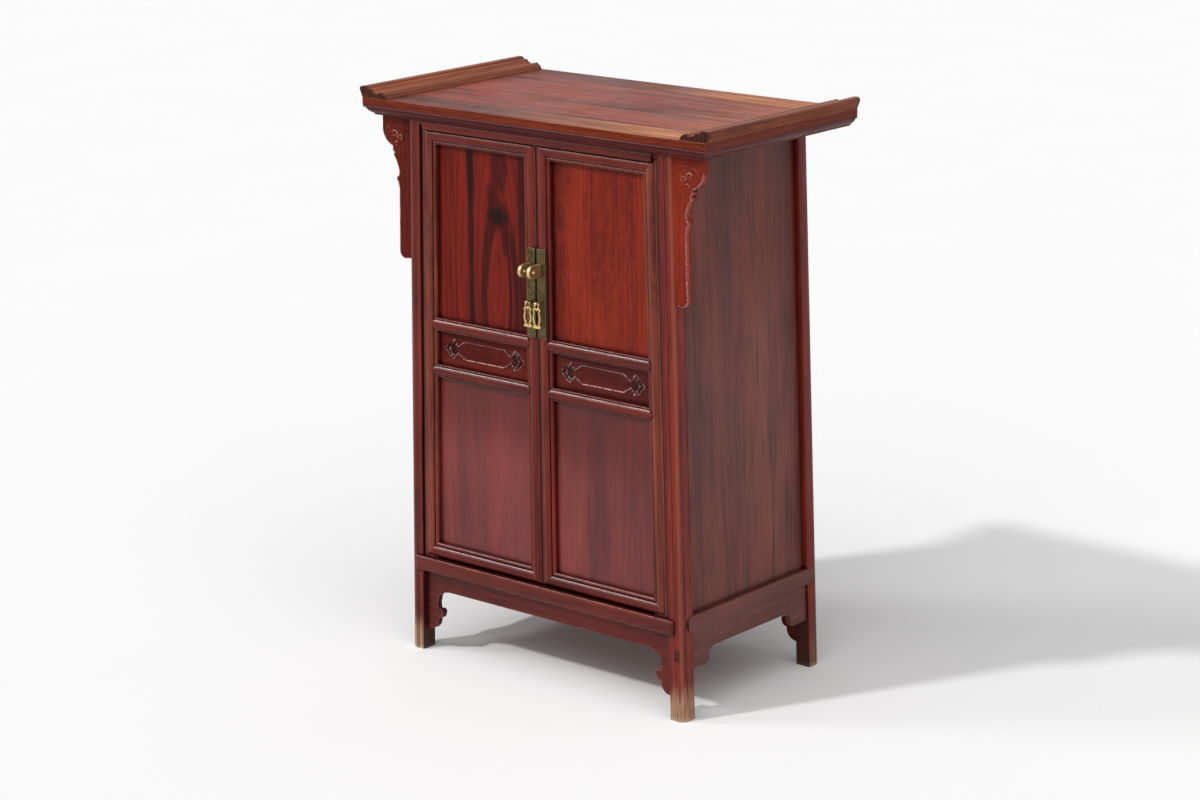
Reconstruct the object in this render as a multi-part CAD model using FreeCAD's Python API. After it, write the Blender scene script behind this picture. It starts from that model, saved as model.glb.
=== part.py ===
import FreeCAD, Part
import math
import os

# Kang cabinet: a tapered pair-door cabinet of frame-and-panel work, with everted flanges on its top.
# Lengths are in millimetres. The front faces -Y, +X is to the right as seen from the front and +Z is up.
# Shapes are built about the middle of the case on the floor and moved to the frame's origin at the end.

# Case outline: the posts' outer faces at the floor and under the top
case_height = 854.4
head_half_width = 260.1
head_half_depth = 163.7
width_splay = 20.3
depth_splay = 5.3

# Posts: a square section with a rolled outer corner and beads along both faces
post_width = 26.0
post_depth = 26.7
post_roll = 12.0
post_bead = 3.0
post_edge_bead = 2.5
post_groove_depth = 1.0
post_groove_width = 1.5
post_tenon_width = 14.0
post_tenon_height = 10.0

# Joinery shared by the case's rails
tenon_length = 10.0
tenon_thickness = 7.0
tenon_setback = 8.0
tenon_shoulder = 4.0
groove_depth = 5.0
lap_depth = 3.0
trim_overlap = 4.0
overrun = 20.0

# Top: a mitred frame with a flush panel, moulded under its front and ends
top_end_overhang = 77.6
top_face_overhang = 16.5
band_height = 12.0
moulding_height = 16.6
moulding_retreat = 17.5
top_member_width = 57.0
top_panel_thickness = 12.0
top_tongue_thickness = 6.0
batten_width = 32.0
batten_height = 14.0
moulding_start_shares = (0.06, 0.97)
moulding_shares = (
    ((0.0, 0.88), (0.06, 0.79)),
    ((0.19, 0.77),),
    ((0.19, 0.70),),
    ((0.43, 0.38), (0.72, 0.18)),
    ((0.735, 0.09), (0.80, 0.03)),
    ((1.0, 0.0),),
)

# Everted flanges on the top's ends
flange_width = 54.0
flange_height = 16.8
flange_overhang = 5.3
flange_tongue_width = 8.0
flange_tongue_depth = 6.0
flange_tongue_inset = 18.0
flange_tongue_setback = 30.0
flange_shares = (
    ((0.08, 0.38),),
    ((0.12, 0.41),),
    ((0.20, 0.56), (0.28, 0.44)),
    ((0.38, 0.42),),
    ((0.50, 0.53), (0.57, 0.76)),
    ((0.71, 0.80),),
    ((0.73, 0.93),),
    ((0.85, 1.0), (0.96, 0.96)),
    ((1.0, 0.72),),
)

# Carved spandrels that hang beside the front posts
spandrel_reach = 56.3
spandrel_drop = 219.4
spandrel_recess = 5.0
spandrel_thickness = 12.0
spandrel_shares = (
    ((1.0, 0.0),),
    ((1.0, 0.105),),
    ((0.90, 0.162), (0.61, 0.213)),
    ((0.625, 0.236), (0.56, 0.254)),
    ((0.587, 0.268), (0.56, 0.286)),
    ((0.46, 0.330), (0.39, 0.385)),
    ((0.405, 0.412), (0.46, 0.427)),
    ((0.478, 0.441), (0.43, 0.461)),
    ((0.382, 0.507),),
    ((0.387, 0.955),),
    ((0.33, 0.990), (0.08, 1.0)),
)

# Front rails of the case: the sill under the doors and the rail above them
sill_top = 157.0
sill_height = 22.0
sill_projection = 6.0
sill_crown = 2.0
sill_lap = 12.3
sill_end_round = 5.0
case_rail_depth = 20.7
head_rail_height = 12.4
head_rail_projection = 3.0
head_rail_crown = 1.5

# Side and rear rails of the case
side_rail_drop = 20.0
side_rail_height = 24.0
side_rail_projection = 2.5
side_rail_crown = 1.5
side_rail_lap = 12.0
side_lap_round = 5.0
side_rail_depth = 20.0
rear_rail_recess = 1.0
inner_rail_height = 22.0
inner_rail_depth = 14.0
inner_tenon_thickness = 5.5
inner_tenon_length = 5.0
back_rail_share = 0.5852

# Panels and boards inside the case
side_panel_recess = 9.5
side_panel_thickness = 10.0
back_panel_thickness = 10.0
board_thickness = 10.0
shelf_share = 0.5922
shelf_thickness = 12.0
shelf_stop_gap = 2.0
shelf_side_gap = 1.0

# Front apron: its recess, its edges and the cusped spandrel beside each post
apron_height = 32.4
apron_recess = 9.0
apron_thickness = 10.0
apron_spandrel_width = 54.0
apron_spandrel_drop = 68.2
apron_shares = (
    ((0.16, 0.01), (0.33, 0.06)),
    ((0.47, 0.12), (0.53, 0.24)),
    ((0.56, 0.36), (0.52, 0.49)),
    ((0.36, 0.50), (0.37, 0.58)),
    ((0.46, 0.69), (0.55, 0.70)),
    ((0.62, 0.90), (0.86, 1.0)),
    ((1.0, 1.0),),
)

# Side apron, with a plainer spandrel
side_apron_height = 36.0
side_apron_recess = 4.0
side_apron_thickness = 9.0
side_spandrel_width = 58.0
side_spandrel_drop = 23.5
side_apron_shares = (
    ((0.18, 0.10), (0.30, 0.55)),
    ((0.34, 0.90), (0.52, 1.0)),
    ((1.0, 0.98),),
)

# Doors: frames of moulded members round three floating panels
door_head_gap = 1.0
door_foot_gap = 4.5
door_thickness = 20.0
door_side_gap = 1.0
door_meeting_gap = 1.0
stile_foot_gap = 0.5
edge_bead_width = 2.5
edge_bead_depth = 4.2
edge_bead_rise = 1.2
outer_strip_width = 5.0
meeting_strip_width = 3.5
strip_depth = 3.4
crown_width = 15.0
crown_depth = 3.0
crown_rise = 3.0
bead_width = 6.5
bead_depth = 5.5
bead_rise = 2.0
middle_crown_width = 14.0
middle_bead_width = 3.0
middle_bead_depth = 5.0
middle_bead_rise = 1.5
upper_rail_share = 0.5401
lower_rail_share = 0.4312
door_tenon_reach = 18.0
door_tenon_height = 8.0
door_tenon_setback = 6.0
panel_face = 11.5
panel_thickness = 6.0

# Carved cartouche on each door's middle panel
cartouche_length_share = 0.834
cartouche_height_share = 0.537
cartouche_depth = 2.5
cartouche_shares = (
    (0.66, 1.0),
    (0.80, 0.42),
    (0.92, 0.40),
    (1.0, 0.0),
)

# Wooden door pivots, turned on the ends of the outer stiles
pivot_edge = 6.0
pivot_depth = 6.5
pivot_radius = 3.0
pivot_clearance = 0.05
pivot_root = 5.0
pivot_rise = 21.0
pivot_drop = 14.0
pivot_end_gap = 0.5
horn_rise = 7.0
horn_depth = 12.5
horn_gap = 0.6

# Brass lock plates, let into the meeting stiles
plate_lift = 0.5
plate_height = 137.0
plate_width = 17.5
plate_stand = 0.6
plate_thickness = 2.5

# Brass lock tabs, which stand out and take a padlock's shackle through their holes
tab_middle = 8.5
tab_thickness = 5.0
tab_height = 20.0
tab_reach = 28.0
tab_lift = 95.0
tab_hole_radius = 2.5
tang_height = 8.0
tang_depth = 12.0

# Brass pulls, each hung by a bar in an eye
eye_lift = 55.0
eye_reach = 10.0
eye_radius = 3.0
eye_thickness = 2.4
eye_tang = 3.0
pull_bar_radius = 1.2
pull_clearance = 0.08
pull_thickness = 3.0
pull_half_width = 8.4
pull_length = 38.0
pull_ear_rise = 3.0
pull_ear_half_width = 4.6
pull_ear_thickness = 2.0
pull_neck_drop = 6.0
pull_shares = (
    ((0.60, 0.20),),
    ((1.0, 0.24), (0.86, 0.32)),
    ((0.80, 0.48), (0.86, 0.62)),
    ((0.92, 0.76), (0.74, 0.86)),
    ((0.96, 0.93),),
    ((0.96, 1.0),),
)
pull_opening_top_shares = (0.18, 0.27)
pull_opening_shares = (
    ((0.26, 0.42), (0.30, 0.62)),
    ((0.33, 0.74), (0.22, 0.84)),
)

# Places that follow from the sizes above
top_height = case_height + moulding_height + band_height
top_half_length = head_half_width + top_end_overhang
top_half_depth = head_half_depth + top_face_overhang
foot_half_width = head_half_width + width_splay
foot_half_depth = head_half_depth + depth_splay
width_slope = width_splay / case_height
depth_slope = depth_splay / case_height
sill_half_length = foot_half_width - width_slope * sill_top - post_width + sill_lap
side_rail_low = sill_top - side_rail_drop
apron_edge = sill_top - sill_height - apron_height
side_apron_edge = side_rail_low - side_apron_height
back_rail_low = back_rail_share * case_height
shelf_height = shelf_share * case_height
door_top = case_height - head_rail_height - door_head_gap
door_bottom = sill_top + door_foot_gap
middle_rail_width = middle_crown_width + middle_bead_width + middle_bead_width
upper_rail_low = door_bottom + upper_rail_share * (door_top - door_bottom)
lower_rail_low = door_bottom + lower_rail_share * (door_top - door_bottom)
plate_low = upper_rail_low + middle_rail_width + plate_lift
tab_low = plate_low + tab_lift
eye_height = plate_low + eye_lift


def at(x, y, z):
    return FreeCAD.Vector(x, y, z)


def half_width(z):
    """Distance of the posts' outer faces from the middle, along X, at a height."""
    return foot_half_width - width_slope * z


def half_depth(z):
    """Distance of the posts' outer faces from the middle, along Y, at a height."""
    return foot_half_depth - depth_slope * z


def solid_of(start, steps, place, along):
    """Extrudes an outline. A step is an end point, or a middle point and an end point for an arc."""
    edges = []
    first = place(*start)
    here = first
    for step in steps:
        there = place(*step[-1])
        if len(step) == 1:
            edges.append(Part.LineSegment(here, there).toShape())
        else:
            edges.append(Part.Arc(here, place(*step[0]), there).toShape())
        here = there
    edges.append(Part.LineSegment(here, first).toShape())
    return Part.Face(Part.Wire(edges)).extrude(along)


def steps_of(points):
    return [(point,) for point in points]


def slab_xz(points, y_low, y_high):
    """A straight-sided outline in X and Z, extruded along Y."""
    return solid_of(points[0], steps_of(points[1:]), lambda x, z: at(x, y_low, z), at(0, y_high - y_low, 0))


def slab_yz(points, x_low, x_high):
    """A straight-sided outline in Y and Z, extruded along X."""
    return solid_of(points[0], steps_of(points[1:]), lambda y, z: at(x_low, y, z), at(x_high - x_low, 0, 0))


def slab_xy(points, z_low, z_high):
    """A straight-sided outline in X and Y, extruded along Z."""
    return solid_of(points[0], steps_of(points[1:]), lambda x, y: at(x, y, z_low), at(0, 0, z_high - z_low))


def block(x_low, x_high, y_low, y_high, z_low, z_high):
    return Part.makeBox(x_high - x_low, y_high - y_low, z_high - z_low, at(x_low, y_low, z_low))


def moulded(strips, thickness, place, along):
    """A bar whose face is a row of strips. Each strip has a width, a depth at its edges and a rise."""
    steps = []
    across = 0
    for width, depth, rise in strips:
        steps.append(((across, depth),))
        if rise:
            steps.append(((across + width / 2, depth - rise), (across + width, depth)))
        else:
            steps.append(((across + width, depth),))
        across += width
    steps.append(((across, thickness),))
    return solid_of((0, thickness), steps, place, along)


def mirror_x(shape):
    return shape.mirror(at(0, 0, 0), at(1, 0, 0))


def mirror_y(shape):
    return shape.mirror(at(0, 0, 0), at(0, 1, 0))


def lean_front(shape):
    """Moves a shape from the upright front frame, where the posts' front is y = 0, to the leaning one."""
    leaned = shape.copy()
    leaned.rotate(at(0, 0, 0), at(1, 0, 0), -math.degrees(math.atan(depth_slope)))
    leaned.translate(at(0, -foot_half_depth, 0))
    return leaned


def lean_side(shape):
    """Moves a shape from the upright side frame, where the posts' face is x = 0, to the right side."""
    leaned = shape.copy()
    leaned.rotate(at(0, 0, 0), at(0, 1, 0), -math.degrees(math.atan(width_slope)))
    leaned.translate(at(foot_half_width, 0, 0))
    return leaned


def largest(shape):
    """The main solid of a shape that a cut may have left in several."""
    return max(shape.Solids, key=lambda solid: solid.Volume)


def cut_all(shape, tools):
    for tool in tools:
        shape = shape.cut(tool)
    return shape


def fuse_all(shape, others):
    for other in others:
        shape = shape.fuse(other)
    return shape.removeSplitter()


pieces = {}


def make_post():
    """The right front post, with a tenon on its head for the top."""
    steps = [
        ((post_edge_bead / 2, 0), (post_edge_bead, post_groove_depth)),
        ((post_width - post_roll - post_groove_width - post_bead, post_groove_depth),),
        ((post_width - post_roll - post_groove_width - post_bead / 2, 0),
         (post_width - post_roll - post_groove_width, post_groove_depth)),
        ((post_width - post_roll, 0),),
        ((post_width - post_roll * (1 - math.sqrt(0.5)), post_roll * (1 - math.sqrt(0.5))),
         (post_width, post_roll)),
        ((post_width, post_depth - post_bead - post_groove_width),),
        ((post_width - post_groove_depth, post_depth - post_bead),),
        ((post_width, post_depth - post_bead / 2), (post_width - post_groove_depth, post_depth)),
        ((0, post_depth),),
    ]
    inner_face = foot_half_width - post_width
    rise = at(-width_slope * case_height, depth_slope * case_height, case_height)
    post = solid_of((0, post_groove_depth), steps,
                    lambda x, y: at(inner_face + x, y - foot_half_depth, 0), rise)
    middle_x = head_half_width - post_width / 2
    middle_y = -head_half_depth + post_depth / 2
    tenon = block(middle_x - post_tenon_width / 2, middle_x + post_tenon_width / 2,
                  middle_y - post_tenon_width / 2, middle_y + post_tenon_width / 2,
                  case_height, case_height + post_tenon_height)
    return post.fuse(tenon)


def add_posts():
    right_front = make_post()
    pieces["post_front_right"] = right_front
    pieces["post_front_left"] = mirror_x(right_front)
    pieces["post_rear_right"] = mirror_y(right_front)
    pieces["post_rear_left"] = mirror_y(mirror_x(right_front))


def fit_between(bar, joints, ends):
    """Trims a bar to the pieces at its ends, adds its laps and tenons, and cuts the ends for those."""
    body = largest(cut_all(bar, [pieces[name] for name in ends]))
    for name in ends:
        pieces[name] = cut_all(pieces[name], joints)
    return fuse_all(body, joints)


def front_span(z_low, z_high, extra):
    """The outline between the front posts, with the overlap given at each end."""
    return [
        (-half_width(z_low) + post_width - extra, z_low),
        (half_width(z_low) - post_width + extra, z_low),
        (half_width(z_high) - post_width + extra, z_high),
        (-half_width(z_high) + post_width - extra, z_high),
    ]


def front_tenons(z_low, z_high, setback):
    """Tenons of a front or rear rail, in the upright front frame."""
    middle = (z_low + z_high) / 2
    face = half_width(middle) - post_width
    right = block(face - tenon_length, face + tenon_length, setback, setback + tenon_thickness,
                  z_low + tenon_shoulder, z_high - tenon_shoulder)
    return [right, mirror_x(right)]


def add_sill():
    """The front rail under the doors: it stands in front of the posts and laps them."""
    z_low = sill_top - sill_height
    strips = [(sill_height, sill_crown, sill_crown)]
    bar = moulded(strips, sill_projection + case_rail_depth,
                  lambda u, v: at(-sill_half_length, v - sill_projection, sill_top - u),
                  at(sill_half_length + sill_half_length, 0, 0))
    round_mid = sill_end_round * (1 - math.sqrt(0.5))
    end_steps = [
        ((sill_half_length, case_rail_depth),),
        ((sill_half_length, -sill_projection + sill_end_round),),
        ((sill_half_length - round_mid, -sill_projection + round_mid),
         (sill_half_length - sill_end_round, -sill_projection)),
        ((-sill_half_length + sill_end_round, -sill_projection),),
        ((-sill_half_length + round_mid, -sill_projection + round_mid),
         (-sill_half_length, -sill_projection + sill_end_round)),
    ]
    outline = solid_of((-sill_half_length, case_rail_depth), end_steps,
                       lambda x, y: at(x, y, z_low), at(0, 0, sill_height))
    bar = bar.common(outline)
    lap = bar.common(block(-sill_half_length, sill_half_length, -sill_projection, lap_depth, z_low, sill_top))
    joints = [lap] + front_tenons(z_low, sill_top, tenon_setback)
    pieces["bottom_rail_front"] = fit_between(lean_front(bar), [lean_front(joint) for joint in joints],
                                              ["post_front_left", "post_front_right"])


def pivot_axis(z):
    """The right door's pivot line in the upright front frame."""
    return at(half_width(z) - post_width - door_side_gap - pivot_edge, pivot_depth, z)


def pivot_rod(radius, z_low, z_high):
    foot = pivot_axis(z_low)
    along = pivot_axis(z_high) - foot
    return Part.makeCylinder(radius, along.Length, foot, along)


def add_head_rail():
    """The front rail above the doors, hollowed at its ends for the horns of the outer stiles."""
    z_low = case_height - head_rail_height
    strips = [(head_rail_height, head_rail_crown, head_rail_crown)]
    half_length = head_half_width - post_width + tenon_length
    bar = moulded(strips, head_rail_projection + case_rail_depth,
                  lambda u, v: at(-half_length, v - head_rail_projection, case_height - u),
                  at(half_length + half_length, 0, 0))
    horn_width = edge_bead_width + outer_strip_width
    front_end = half_width(door_top) - post_width - door_side_gap - horn_width - horn_gap
    pocket_top = door_top + horn_rise + horn_gap
    pivot = pivot_axis(door_top)
    horn_back = horn_depth - pivot_depth
    pocket_radius = math.hypot(pivot_edge, horn_back) + horn_gap
    pocket = Part.makeCylinder(pocket_radius, pocket_top - door_top + overrun, pivot - at(0, 0, overrun),
                               at(0, 0, 1))
    pocket = pocket.common(block(0, head_half_width, 0, case_rail_depth, z_low - overrun, pocket_top))
    keep_y = pivot_depth - pivot_radius - horn_gap
    pocket = pocket.cut(block(0, front_end, -overrun, keep_y, z_low - overrun, case_height))
    opening = block(front_end, head_half_width, -overrun, pivot_depth, z_low - overrun, pocket_top)
    front_end_cut = block(front_end, head_half_width, -overrun, 0, z_low - overrun, case_height + overrun)
    bore = pivot_rod(pivot_radius + pivot_clearance, z_low - overrun, case_height + overrun)
    for tool in (pocket, opening, front_end_cut, bore):
        bar = cut_all(bar, [tool, mirror_x(tool)])
    pieces["top_rail_front"] = fit_between(lean_front(bar), [], ["post_front_left", "post_front_right"])


def add_front_apron():
    """The board under the sill, with a cusped spandrel beside each front post."""
    z_high = sill_top - sill_height + groove_depth
    foot = apron_edge - apron_spandrel_drop
    corner = half_width(foot) - post_width
    start = corner - apron_spandrel_width
    steps = []
    for step in apron_shares:
        steps.append(tuple((start + u * apron_spandrel_width, apron_edge - v * apron_spandrel_drop)
                           for u, v in step))
    steps.append(((corner + trim_overlap, foot),))
    steps.append(((half_width(z_high) - post_width + trim_overlap, z_high),))
    steps.append(((0, z_high),))
    steps.append(((0, apron_edge),))
    half = solid_of((start, apron_edge), steps, lambda x, z: at(x, apron_recess, z),
                    at(0, apron_thickness, 0))
    apron = fuse_all(half, [mirror_x(half)])
    front = largest(cut_all(lean_front(apron), [pieces["post_front_left"], pieces["post_front_right"]]))
    pieces["apron_front"] = front
    pieces["bottom_rail_front"] = pieces["bottom_rail_front"].cut(front)
    pieces["apron_rear"] = mirror_y(front)


def add_rear_rails():
    """The rear rails, flush with the posts but for a small recess."""
    back_rail_high = back_rail_low + inner_rail_height
    sill_low = sill_top - sill_height
    levels = {
        "bottom_rail_rear": (sill_low, sill_top),
        "back_rail": (back_rail_low, back_rail_high),
        "top_rail_rear": (case_height - inner_rail_height, case_height),
    }
    for name, (z_low, z_high) in levels.items():
        bar = slab_xz(front_span(z_low, z_high, post_width / 2), rear_rail_recess, case_rail_depth)
        joints = front_tenons(z_low, z_high, tenon_setback)
        trimmed = bar.common(slab_xz(front_span(z_low, z_high, 0), rear_rail_recess, case_rail_depth))
        rear = [mirror_y(lean_front(shape)) for shape in [trimmed] + joints]
        pieces[name] = fit_between(rear[0], rear[1:], ["post_rear_left", "post_rear_right"])
    pieces["bottom_rail_rear"] = pieces["bottom_rail_rear"].cut(pieces["apron_rear"])


def side_span(z_low, z_high, extra):
    """The outline between a front and a rear post, with the overlap given at each end."""
    return [
        (-half_depth(z_low) + post_depth - extra, z_low),
        (half_depth(z_low) - post_depth + extra, z_low),
        (half_depth(z_high) - post_depth + extra, z_high),
        (-half_depth(z_high) + post_depth - extra, z_high),
    ]


def side_tenons(z_low, z_high, recess, thickness, length):
    """Tenons of a side rail into the front and rear posts, in the upright side frame."""
    face = half_depth((z_low + z_high) / 2) - post_depth
    front = block(-recess - thickness, -recess, -face - length, -face + length,
                  z_low + tenon_shoulder, z_high - tenon_shoulder)
    return [front, mirror_y(front)]


def add_side_rails():
    """The side bottom rails, which lap the posts, and the inner rails at the head of the sides."""
    z_high = side_rail_low + side_rail_height
    lap_end = half_depth(side_rail_low) - post_depth + side_rail_lap
    strips = [(side_rail_height, side_rail_crown, side_rail_crown)]
    bar = moulded(strips, side_rail_projection + side_rail_depth,
                  lambda u, v: at(side_rail_projection - v, -lap_end, z_high - u),
                  at(0, lap_end + lap_end, 0))
    round_mid = side_lap_round * (1 - math.sqrt(0.5))
    steps = [
        ((-lap_end + side_lap_round, side_rail_low),),
        ((-lap_end + round_mid, side_rail_low + round_mid), (-lap_end, side_rail_low + side_lap_round)),
        ((-lap_end, z_high - side_lap_round),),
        ((-lap_end + round_mid, z_high - round_mid), (-lap_end + side_lap_round, z_high)),
        ((lap_end - side_lap_round, z_high),),
        ((lap_end - round_mid, z_high - round_mid), (lap_end, z_high - side_lap_round)),
        ((lap_end, side_rail_low + side_lap_round),),
        ((lap_end - round_mid, side_rail_low + round_mid), (lap_end - side_lap_round, side_rail_low)),
    ]
    outline = solid_of((0, side_rail_low), steps, lambda y, z: at(-side_rail_depth, y, z),
                       at(side_rail_depth + side_rail_projection, 0, 0))
    bar = bar.common(outline)
    lap = bar.common(block(-lap_depth, side_rail_projection, -lap_end, lap_end, side_rail_low, z_high))
    joints = [lap] + side_tenons(side_rail_low, z_high, tenon_setback, tenon_thickness, tenon_length)
    right = [lean_side(shape) for shape in [bar] + joints]
    left = [mirror_x(shape) for shape in right]
    pieces["bottom_rail_right"] = fit_between(right[0], right[1:], ["post_front_right", "post_rear_right"])
    pieces["bottom_rail_left"] = fit_between(left[0], left[1:], ["post_front_left", "post_rear_left"])


def inner_bar(z_low, z_high):
    """A bar behind a side panel, from post to post, with the tenons that the posts are cut for."""
    back = side_panel_recess + side_panel_thickness
    bar = slab_yz(side_span(z_low, z_high, 0), -back - inner_rail_depth, -back)
    joints = side_tenons(z_low, z_high, back, inner_tenon_thickness, inner_tenon_length)
    right = [lean_side(shape) for shape in [bar] + joints]
    left = [mirror_x(shape) for shape in right]
    return (fit_between(right[0], right[1:], ["post_front_right", "post_rear_right"]),
            fit_between(left[0], left[1:], ["post_front_left", "post_rear_left"]))


def add_inner_rails():
    right, left = inner_bar(case_height - inner_rail_height, case_height)
    pieces["top_rail_right"] = right.common(
        block(0, foot_half_width, -foot_half_depth, foot_half_depth, 0, case_height))
    pieces["top_rail_left"] = mirror_x(pieces["top_rail_right"])
    shelf_low = shelf_height - shelf_thickness
    right, left = inner_bar(shelf_low - inner_rail_height, shelf_low)
    pieces["shelf_bearers"] = Part.makeCompound([right, left])


def add_side_aprons():
    """The board under each side rail, with a spandrel beside each post."""
    z_high = side_rail_low + groove_depth
    corner = half_depth(side_apron_edge) - post_depth
    start = corner - side_spandrel_width
    steps = []
    for step in side_apron_shares:
        steps.append(tuple((start + u * side_spandrel_width, side_apron_edge - v * side_spandrel_drop)
                           for u, v in step))
    last_y, last_z = steps[-1][-1]
    steps.append(((last_y + trim_overlap, last_z),))
    steps.append(((corner + trim_overlap, z_high),))
    steps.append(((0, z_high),))
    steps.append(((0, side_apron_edge),))
    half = solid_of((start, side_apron_edge), steps, lambda y, z: at(-side_apron_recess, y, z),
                    at(-side_apron_thickness, 0, 0))
    apron = lean_side(fuse_all(half, [mirror_y(half)]))
    right = largest(cut_all(apron, [pieces["post_front_right"], pieces["post_rear_right"]]))
    pieces["apron_right"] = right
    pieces["apron_left"] = mirror_x(right)
    for side in ("left", "right"):
        rail = "bottom_rail_" + side
        pieces[rail] = pieces[rail].cut(pieces["apron_" + side])


def add_side_panels():
    """The side panels, let into the posts and the bottom rails."""
    z_low = side_rail_low + side_rail_height - groove_depth
    outline = side_span(z_low, case_height, groove_depth)
    panel = lean_side(slab_yz(outline, -side_panel_recess - side_panel_thickness, -side_panel_recess))
    panel = panel.common(block(0, foot_half_width, -foot_half_depth, foot_half_depth, 0, case_height))
    pieces["side_panel_right"] = panel
    pieces["side_panel_left"] = mirror_x(panel)
    for side in ("left", "right"):
        for name in ("post_front_", "post_rear_", "bottom_rail_"):
            pieces[name + side] = pieces[name + side].cut(pieces["side_panel_" + side])
        pieces["top_rail_" + side] = pieces["top_rail_" + side].cut(pieces["side_panel_" + side])


def add_back_panels():
    """Two panels in the back, above and below its middle rail."""
    levels = {
        "back_panel_lower": (sill_top, back_rail_low),
        "back_panel_upper": (back_rail_low + inner_rail_height, case_height - inner_rail_height),
    }
    frame = ("post_rear_left", "post_rear_right", "bottom_rail_rear", "back_rail", "top_rail_rear")
    for name, (z_low, z_high) in levels.items():
        points = front_span(z_low - groove_depth, z_high + groove_depth, groove_depth)
        slab = slab_xz(points, case_rail_depth - back_panel_thickness, case_rail_depth)
        pieces[name] = mirror_y(lean_front(slab))
        for member in frame:
            pieces[member] = pieces[member].cut(pieces[name])


def add_boards():
    """The bottom board, let into the rails, and the shelf on its bearers."""
    z_low = sill_top - board_thickness
    half_x = half_width(sill_top) - side_rail_depth + groove_depth
    half_y = half_depth(sill_top) - case_rail_depth + groove_depth
    posts = [pieces[name] for name in pieces if name.startswith("post_")]
    panels = [pieces[name] for name in pieces if "_panel_" in name]
    tongue_top = z_low + board_thickness / 2
    board = block(-half_x, half_x, -half_y, half_y, z_low, tongue_top)
    field_x = half_x - groove_depth
    field_y = half_y - groove_depth
    field = block(-field_x, field_x, -field_y, field_y, tongue_top, sill_top)
    board = largest(cut_all(board.fuse(field), posts + panels))
    pieces["bottom_panel"] = board
    for side in ("left", "right", "front", "rear"):
        rail = "bottom_rail_" + side
        tongue = board.common(block(-half_x, half_x, -half_y, half_y, z_low, tongue_top))
        pieces[rail] = pieces[rail].cut(tongue)
    pieces["bottom_panel"] = largest(cut_all(board, [pieces["bottom_rail_" + side]
                                                     for side in ("left", "right", "front", "rear")]))
    back = side_panel_recess + side_panel_thickness
    shelf_x = half_width(shelf_height) - back - shelf_side_gap
    shelf_front = -half_depth(shelf_height) + door_thickness + shelf_stop_gap
    shelf_rear = half_depth(shelf_height) - case_rail_depth - shelf_side_gap
    shelf = block(-shelf_x, shelf_x, shelf_front, shelf_rear, shelf_height - shelf_thickness, shelf_height)
    shelf = cut_all(shelf, posts)
    pieces["shelf"] = largest(shelf)


def top_blank():
    """The whole top with its band and mouldings, before it is divided into its frame."""

    def edge(outer, side):
        """The moulding under one edge, from the band down, for the edge on the given side."""
        points = []
        for step in (((0, 1),), (moulding_start_shares,)) + moulding_shares:
            points.append(tuple((outer - side * retreat * moulding_retreat,
                                 case_height + rise * moulding_height)
                                for retreat, rise in step))
        return points

    long_steps = edge(-top_half_depth, -1)
    long_steps += [((top_half_depth, case_height),), ((top_half_depth, top_height),)]
    long_bar = solid_of((-top_half_depth, top_height), long_steps,
                        lambda y, z: at(-top_half_length - overrun, y, z),
                        at(top_half_length + top_half_length + overrun + overrun, 0, 0))
    half_steps = edge(top_half_length, 1) + [((0, case_height),), ((0, top_height),)]
    half = solid_of((top_half_length, top_height), half_steps,
                    lambda x, z: at(x, -top_half_depth - overrun, z),
                    at(0, top_half_depth + top_half_depth + overrun + overrun, 0))
    cross_bar = half.fuse(mirror_x(half)).removeSplitter()
    return long_bar.common(cross_bar)


def add_top():
    """The mitred frame of the top, its flush panel, the batten under that and the two flanges."""
    blank = top_blank()
    inner_x = top_half_length - top_member_width
    inner_y = top_half_depth - top_member_width
    panel_low = top_height - top_panel_thickness
    field = block(-inner_x, inner_x, -inner_y, inner_y, panel_low, top_height)
    tongue_x = inner_x + groove_depth
    tongue_y = inner_y + groove_depth
    tongue = block(-tongue_x, tongue_x, -tongue_y, tongue_y,
                   panel_low, panel_low + top_tongue_thickness)
    panel = field.fuse(tongue).removeSplitter()
    batten = block(-batten_width / 2, batten_width / 2, -tongue_y, tongue_y,
                   panel_low - batten_height, panel_low)
    front = [(-top_half_length, -top_half_depth), (top_half_length, -top_half_depth),
             (inner_x, -inner_y), (-inner_x, -inner_y)]
    right = [(top_half_length, -top_half_depth), (top_half_length, top_half_depth),
             (inner_x, inner_y), (inner_x, -inner_y)]
    outlines = {
        "top_frame_front": front,
        "top_frame_rear": [(x, -y) for x, y in front],
        "top_frame_right": right,
        "top_frame_left": [(-x, y) for x, y in right],
    }
    flange = make_flange()
    sockets = lean_front(pivot_rod(pivot_radius + pivot_clearance, door_top,
                                   door_top + pivot_rise + pivot_end_gap))
    tools = [panel, batten, flange, mirror_x(flange), sockets, mirror_x(sockets)]
    tools += [pieces[name] for name in pieces if name.startswith("post_")]
    for name, outline in outlines.items():
        member = blank.common(slab_xy(outline, case_height, top_height))
        pieces[name] = largest(cut_all(member, tools))
    pieces["top_panel"] = panel
    pieces["top_batten"] = batten
    pieces["flange_right"] = flange
    pieces["flange_left"] = mirror_x(flange)


def make_flange():
    """The right flange, with the tongue that is let into the top's end member."""
    foot = top_half_length + flange_overhang - flange_width
    steps = [tuple((foot + u * flange_width, top_height + v * flange_height) for u, v in step)
             for step in flange_shares]
    steps.append(((top_half_length, top_height),))
    flange = solid_of((foot, top_height), steps, lambda x, z: at(x, -top_half_depth, z),
                      at(0, top_half_depth + top_half_depth, 0))
    tongue_x = foot + flange_tongue_inset
    tongue_y = top_half_depth - flange_tongue_setback
    tongue = block(tongue_x, tongue_x + flange_tongue_width, -tongue_y, tongue_y,
                   top_height - flange_tongue_depth, top_height)
    return flange.fuse(tongue)


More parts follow.
